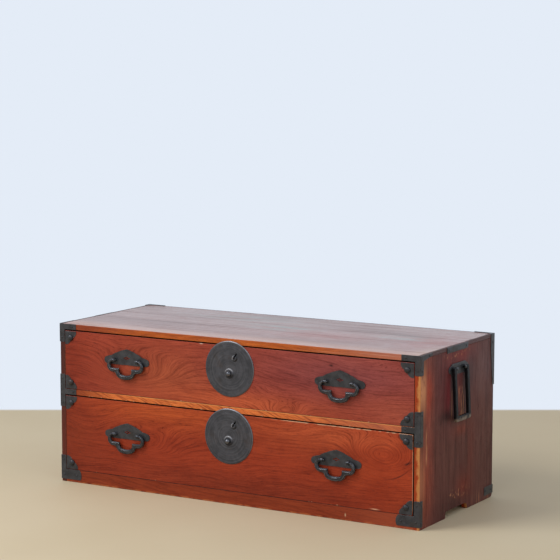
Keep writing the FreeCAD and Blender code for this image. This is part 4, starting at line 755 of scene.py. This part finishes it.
SIDE_AREAS = [
    ((0.285, -0.040), (0.085, 0.090), tone(112, 56, 60), 0.8),
    ((0.340, 0.020), (0.022, 0.070), tone(146, 60, 55), 0.8),
    ((0.235, -0.132), (0.160, 0.024), tone(150, 84, 72), 0.85),
    ((0.280, -0.136), (0.045, 0.018), tone(188, 78, 54), 0.9),
    ((0.100, -0.150), (0.085, 0.034), tone(170, 80, 60), 0.8),
    ((0.052, 0.035), (0.030, 0.036), tone(136, 56, 42), 0.8),
    ((0.180, 0.022), (0.014, 0.036), tone(136, 64, 50), 0.8),
    ((0.120, 0.070), (0.080, 0.020), tone(122, 58, 48), 0.6),
    ((0.255, -0.040), (0.045, 0.018), tone(126, 44, 50), 0.7),
    ((0.300, 0.140), (0.050, 0.060), tone(118, 84, 84), 0.7),
    ((0.218, -0.050), (0.014, 0.034), tone(62, 44, 44), 0.8),
    # Painted shadow of the handle, in this area and the next.
    ((0.300, -0.012), (0.060, 0.014), tone(48, 36, 40), 0.5),
    ((0.302, 0.066), (0.045, 0.018), tone(84, 58, 60), 0.7),
    # Painted shade low between the feet.
    ((0.022, -0.015), (0.024, 0.060), tone(80, 46, 42), 0.8),
]
dress(timber("top_lacquer", "x", "y", 130.0, tone(178, 87, 32), slope=0.02, marks=top_marks, bare=top_bare,
             rough=0.34, coat=0.66, ior=1.33, edge=tone(196, 112, 54), edge_share=0.5, seed=3.1), "top_board")
dress(timber("rail_lacquer", "x", "z", 170.0, tone(216, 116, 60), slope=0.10, marks=rail_marks,
             seed=8.8), "middle_rail")
dress(timber("bottom_rail_lacquer", "x", "z", 150.0, tone(138, 56, 31), slope=0.05, marks=bottom_rail_marks,
             seed=2.2), "bottom_rail")
for hand, panel in ((1, "right_side_panel"), (-1, "left_side_panel")):
    dress(timber(panel + "_lacquer", "z", "y", 90.0, tone(108, 64, 58), (), SIDE_AREAS, figure=0.55, fine=0.4,
                 marks=side_marks(hand), rough=0.42, ior=1.2, edge=tone(120, 70, 50), edge_share=0.35,
                 seed=5.5 + hand), panel)

# %% [markdown]
# Inside and behind, the chest is plain pale softwood, planed and never lacquered. It is made by
# the same contour sum with wider rings, no coat and a dry, rough surface that has greyed a little.

# %% Bare wood
BARE = {"rough": 0.66, "ior": 1.4, "edge": tone(176, 144, 104), "edge_share": 0.4,
        "figure": 0.35, "fine": 0.3}
PALE = tone(196, 166, 124)
DUSTY = tone(142, 114, 84)
bare_long = timber("bare_long_boards", "x", "z", 110.0, PALE, tilt=0.9, seed=4.4, **BARE)
bare_flat = timber("bare_flat_boards", "x", "y", 90.0, PALE, tilt=0.5, seed=7.7, **BARE)
bare_sides = timber("bare_drawer_sides", "y", "z", 120.0, PALE, tilt=0.9, seed=5.9, **BARE)
dusty = timber("dusty_back_boards", "x", "z", 80.0, DUSTY, tilt=0.5, seed=1.2, **BARE)
peg_ends = timber("peg_wood", "z", "x", 400.0, DUSTY, tilt=0.9, seed=0.4, **BARE)
dress(dusty, "back_upper_board", "back_lower_board")
dress(bare_flat, "bottom_board", "drawer_shelf", "upper_drawer_bottom", "lower_drawer_bottom")
dress(bare_long, "upper_drawer_back", "lower_drawer_back")
for drawer in ("upper", "lower"):
    dress(bare_sides, drawer + "_drawer_left_side", drawer + "_drawer_right_side")
dress(peg_ends, "case_pegs")

# %% [markdown]
# The fittings are forged iron, blackened by oil and smoke. Hammering leaves shallow facets, and
# the scale has fine pits. Handling polishes the edges to a dull grey, and damp has left a breath
# of brown here and there. Oxide is neither bare metal nor paint, so the shader is part metallic.
# The round lock plates were turned, so fine rings run round them. Their rims carry a painted
# highlight on the upper right, the lips of button and keyhole painted highlights, and painted
# shadow lies below both.

# %% Iron
def iron(name, base=tone(68, 69, 73), deep=tone(49, 50, 54), warm=tone(66, 54, 46),
         bright=tone(120, 120, 126), rough=0.38, hammer=90.0, relief=0.00035, metallic=0.35, ior=1.4,
         marks=None):
    """A finish for iron.

    base and deep are its greys, warm its rust and bright its rubbed edges. hammer is about the
    number of facets in a metre, and relief is their depth in metres. marks adds what only this
    piece has."""
    metal = Finish(name)
    axes = metal.place()
    facets = metal.node("ShaderNodeTexVoronoi", {"feature": "SMOOTH_F1"}, {
        "Vector": metal.point, "Scale": hammer, "Smoothness": 0.6})
    mottle = metal.noise(metal.point, 70.0, 4.0, 0.65)
    pits = metal.patches(metal.point, 0.60, 0.72, 900.0, 2.0, 0.6)
    brown = metal.patches(metal.point, 0.52, 0.72, 26.0, 3.0, 0.6)
    rubbed = metal.attribute("rubbed") * metal.patches(metal.point, 0.35, 0.65, 120.0)
    colour = metal.blend(metal.fade(mottle, 0.3, 0.7), deep, base)
    colour = metal.blend(brown * 0.45, colour, warm)
    colour = metal.blend(pits * 0.6, colour, tone(30, 29, 30))
    colour = metal.blend(rubbed * 0.7, colour, bright)
    roughness = rough + (mottle - 0.5) * 0.30 + pits * 0.2 + brown * 0.1 - rubbed * 0.12
    height = facets * 0.6 + mottle * 0.5 - pits * 0.35
    if marks:
        colour, roughness, height = marks(metal, axes, colour, roughness, height)
    return metal.close(colour, roughness, height, relief, Metallic=metallic, IOR=ior)


def handle_marks(handle):
    """The grip of a hanging handle is rubbed bright, where hands take it."""
    low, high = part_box(handle)

    def marks(metal, axes, colour, roughness, height):
        x, y, z = axes
        held = metal.fade(z, low.z + 0.0110, low.z + 0.0040)
        held = held * metal.patches(metal.point, 0.34, 0.58, 70.0, 3.0, 0.6)
        return metal.blend(held * 0.75, colour, tone(142, 126, 112)), roughness - held * 0.08, height

    return marks


BUTTON_AT = (0.0, -0.0100)
KEY_LIP_AT = (0.0132, 0.0249)


def crescent(metal, across, up, middle, radius, width, turn):
    """The part of a ring that faces a turn, in degrees anticlockwise from rightward."""
    u = across - middle[0]
    v = up - middle[1]
    reach = metal.maths("SQRT", u * u + v * v)
    towards = (u * math.cos(math.radians(turn)) + v * math.sin(math.radians(turn))) / radius
    ring = metal.within(reach, radius - width, radius + width, width * 0.6)
    return ring * metal.fade(towards, 0.1, 0.8)


def disc_marks(disc):
    """Turned rings, a scratch, a painted highlight on the rim's upper right and on the lips of button and
    key, and painted shadow under both lips.
    """
    low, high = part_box(disc)
    middle = ((low.x + high.x) / 2, (low.z + high.z) / 2)

    def marks(metal, axes, colour, roughness, height):
        x, y, z = axes
        across = x - middle[0]
        up = z - middle[1]
        radius = metal.maths("SQRT", across * across + up * up)
        arcs = metal.noise(metal.join(radius * 900.0, x * 14.0, z * 14.0), 1.0, 2.0)
        turned = metal.noise(metal.join(radius * 330.0, x * 9.0, z * 9.0), 1.0, 2.0, 0.6)
        # Painted highlights: the upper side of the ring round the button, and the left side round the key
        # lip.
        lip_highlight = crescent(metal, across, up, BUTTON_AT, 0.0104, 0.0013, 95)
        lip_highlight = lip_highlight + crescent(metal, across, up, KEY_LIP_AT, 0.0048, 0.0011, 165)
        # Painted shadow below the button and below the key lip.
        lip_shadow = crescent(metal, across, up, BUTTON_AT, 0.0085, 0.0018, 290)
        lip_shadow = lip_shadow + crescent(metal, across, up, KEY_LIP_AT, 0.0068, 0.0014, 290)
        # The rim gets a painted highlight, strongest on its upper right.
        highlit_side = metal.fade(up * 0.8 + across * 0.6, -0.015, 0.035) * 0.75 + 0.25
        colour = metal.blend(metal.fade(turned, 0.50, 0.36) * 0.35, colour, tone(44, 45, 49))
        colour = metal.blend(metal.fade(turned, 0.52, 0.66) * 0.28, colour, tone(98, 98, 104))
        colour = metal.blend(lip_highlight * 0.65, colour, tone(166, 166, 172))
        colour = metal.blend(lip_shadow * 0.75, colour, tone(20, 20, 22))
        scratch = metal.within(up, -0.0056, -0.0052, 0.0002) * metal.within(across, 0.008, 0.036, 0.004)
        rim = metal.fade(radius, 0.0592, 0.0602)
        colour = metal.blend(rim * highlit_side * 0.6, colour, tone(132, 132, 138))
        colour = metal.blend(scratch * 0.8, colour, tone(28, 28, 30))
        return colour, roughness + (arcs - 0.5) * 0.08 - rim * 0.1, height - scratch * 0.6 + arcs * 0.12

    return marks


forged = iron("forged_iron")
button_iron = iron("button_iron", base=tone(104, 105, 110), deep=tone(80, 81, 86), bright=tone(170, 172, 178),
                   hammer=200.0, rough=0.24, relief=0.0001, metallic=0.8)
pull_iron = iron("pull_iron", base=tone(66, 68, 74), deep=tone(46, 48, 53), bright=tone(160, 162, 168),
                 hammer=140.0, rough=0.27, relief=0.0001, metallic=0.6)
filed_iron = iron("filed_iron", base=tone(104, 102, 98), deep=tone(80, 78, 76), warm=tone(120, 92, 66),
                  hammer=200.0, rough=0.42, relief=0.0001, metallic=0.9)
spring_steel = iron("spring_steel", base=tone(160, 158, 152), deep=tone(130, 128, 124),
                    warm=tone(120, 104, 88), hammer=300.0, rough=0.30, relief=0.00005, metallic=1.0)
DISC = {"base": tone(76, 77, 84), "deep": tone(58, 60, 67), "bright": tone(76, 77, 84), "hammer": 60.0,
        "relief": 0.0002}
HANDLE = {"base": tone(26, 26, 30), "deep": tone(15, 15, 18), "warm": tone(46, 38, 34), "hammer": 130.0,
          "rough": 0.42, "ior": 1.25}
for node, slot in slot_of.items():
    if slot == "inner_iron":
        dress(filed_iron, node)
    elif slot == "spring_steel":
        dress(spring_steel, node)
    elif slot != "forged_iron" or node.endswith("nails"):
        continue
    elif node.endswith("lock_plate"):
        dress(iron(node + "_iron", marks=disc_marks(node), **DISC), node)
    elif node.endswith("carrying_handle"):
        dress(iron(node + "_iron", marks=handle_marks(node), **HANDLE), node)
    elif node.endswith("lock_button"):
        dress(button_iron, node)
    elif node.endswith(("left_pull", "right_pull", "pull_posts")):
        dress(pull_iron, node)
    else:
        dress(forged, node)

# %% [markdown]
# The straps are held by small nails and the drawers' corner plates by big domed ones. Each nail
# is the same forging, struck a little differently, so one Geometry Nodes tree makes a head and a
# square shank and sets it on every measured place. The tree turns each nail to face out of the
# chest, spins it by a fixed seed, and ends as one plain mesh for each body.

# %% Nails
# Points this near a nail's end measure that end, and points past this share of its radius are head.
NAIL_END = 0.0022
HEAD_SHARE = 0.8
HEAD_RINGS = 8
SHANK_TIP = 0.0003
SHANK_ROOT = 0.0011
LIGHTEST_STRIKE = 0.88
BRACKET_NAIL = {"Head Radius": 0.0027, "Head Rise": 0.0010, "Shank Length": 0.009, "Head Facets": 10}
CORNER_NAIL = {"Head Radius": 0.0074, "Head Rise": 0.0050, "Shank Length": 0.012, "Head Facets": 28}


def separate_solids(node):
    """The points of every separate solid of a CAD node, in an order that is the same each run."""
    work = bmesh.new()
    work.from_mesh(nodes[node].data)
    bmesh.ops.remove_doubles(work, verts=work.verts, dist=WELD)
    found, left = [], set(work.verts)
    for first in work.verts:
        if first not in left:
            continue
        left.remove(first)
        pile, solid = [first], []
        while pile:
            vert = pile.pop()
            solid.append(vert.co.copy())
            for edge in vert.link_edges:
                other = edge.other_vert(vert)
                if other in left:
                    left.remove(other)
                    pile.append(other)
        found.append(solid)
    work.free()
    return found


def nail_places(node):
    """Centre under the head, outward direction and head radius of every nail of a CAD node."""
    places = []
    for solid in separate_solids(node):
        low = Vector([min(point[a] for point in solid) for a in range(3)])
        high = Vector([max(point[a] for point in solid) for a in range(3)])
        middle = (low + high) / 2
        axis = max(range(3), key=lambda a: high[a] - low[a])
        i, j = (a for a in range(3) if a != axis)
        spread = [(math.hypot(point[i] - middle[i], point[j] - middle[j]), point[axis]) for point in solid]

        def width(end):
            return max(reach for reach, along in spread if abs(along - end) < NAIL_END)

        outward = 1 if width(high[axis]) > width(low[axis]) else -1
        facing = Vector((0, 0, 0))
        facing[axis] = outward
        radius = (high[i] - low[i]) / 2
        head = [along for reach, along in spread if reach > radius * HEAD_SHARE]
        middle[axis] = min(head) if outward > 0 else max(head)
        places.append((middle, facing, radius))
    return places


def nail_tree():
    """The Geometry Nodes tree that forges and sets the nails."""
    tree = bpy.data.node_groups.new("set_nails", "GeometryNodeTree")
    for name, kind in (("Places", "Geometry"), ("Head Radius", "Float"), ("Head Rise", "Float"),
                       ("Shank Length", "Float"), ("Head Facets", "Int"), ("Strike Seed", "Int"),
                       ("Iron", "Material")):
        tree.interface.new_socket(name, in_out="INPUT", socket_type="NodeSocket" + kind)
    tree.interface.new_socket("Nails", in_out="OUTPUT", socket_type="NodeSocketGeometry")

    def add(kind, sockets=None, **settings):
        return add_node(tree, kind, settings, sockets)

    given = add("NodeGroupInput")
    head = add("GeometryNodeMeshUVSphere", {
        "Segments": given["Head Facets"], "Rings": HEAD_RINGS, "Radius": 1.0})
    size = add("ShaderNodeCombineXYZ", {
        0: given["Head Radius"], 1: given["Head Radius"], 2: given["Head Rise"]})
    dome = add("GeometryNodeTransform", {"Geometry": head["Mesh"], "Scale": size[0]})
    shank = add("GeometryNodeMeshCone", {
        "Vertices": 4, "Radius Top": SHANK_TIP, "Radius Bottom": SHANK_ROOT, "Depth": given["Shank Length"]})
    down = add("GeometryNodeTransform", {"Geometry": shank["Mesh"], "Rotation": (math.pi, 0, 0)})
    nail = add("GeometryNodeJoinGeometry", {0: dome[0]})
    tree.links.new(down[0], nail[0].node.inputs[0])
    facing = add("GeometryNodeInputNamedAttribute", {"Name": "facing"}, data_type="FLOAT_VECTOR")
    aim = add("FunctionNodeAlignRotationToVector", {"Vector": facing[0]}, axis="Z")
    spin = add("FunctionNodeRandomValue", {3: math.tau, "Seed": given["Strike Seed"]}, data_type="FLOAT")
    spin_turn = add("FunctionNodeAxisAngleToRotation", {"Angle": spin[1]})
    turn = add("FunctionNodeRotateRotation", {0: aim[0], 1: spin_turn[0]}, rotation_space="LOCAL")
    struck = add("FunctionNodeRandomValue", {
        2: LIGHTEST_STRIKE, 3: 1.0, "Seed": given["Strike Seed"]}, data_type="FLOAT")
    placed = add("GeometryNodeInstanceOnPoints", {
        "Points": given["Places"], "Instance": nail[0], "Rotation": turn[0], "Scale": struck[1]})
    real = add("GeometryNodeRealizeInstances", {0: placed[0]})
    smooth = add("GeometryNodeSetShadeSmooth", {0: real[0]})
    painted = add("GeometryNodeSetMaterial", {"Geometry": smooth[0], "Material": given["Iron"]})
    add("NodeGroupOutput", {0: painted[0]})
    return tree


def set_nails(node, tree, settings):
    """Nails for every place of one CAD node, as one plain mesh that stands for it."""
    places = nail_places(node)
    mesh = bpy.data.meshes.new("set_" + node)
    mesh.from_pydata([place for place, facing, radius in places], [], [])
    mark = mesh.attributes.new("facing", "FLOAT_VECTOR", "POINT")
    for item, (place, facing, radius) in zip(mark.data, places):
        item.vector = facing
    piece = bpy.data.objects.new("set_" + node, mesh)
    bpy.context.scene.collection.objects.link(piece)
    maker = piece.modifiers.new("nails", "NODES")
    maker.node_group = tree
    sockets = {item.name: item.identifier for item in tree.interface.items_tree if item.in_out == "INPUT"}
    for name, value in settings.items():
        maker[sockets[name]] = value
    settle(piece, node)
    heads = sorted({round(radius * 1000, 2) for place, facing, radius in places})
    print(piece.name, len(places), "nails, head radius mm", heads, len(piece.data.polygons), "faces")


nail_iron = iron("nail_iron", base=tone(54, 54, 58), hammer=400.0, relief=0.0002, rough=0.32)
tree = nail_tree()
for node, nail, seed in (("bracket_nails", BRACKET_NAIL, 7), ("upper_corner_nails", CORNER_NAIL, 3),
                         ("lower_corner_nails", CORNER_NAIL, 5)):
    set_nails(node, tree, {**nail, "Strike Seed": seed, "Iron": nail_iron})

# %% [markdown]
# Last, the view layer is brought up to date.

# %% Finish
bpy.context.view_layer.update()
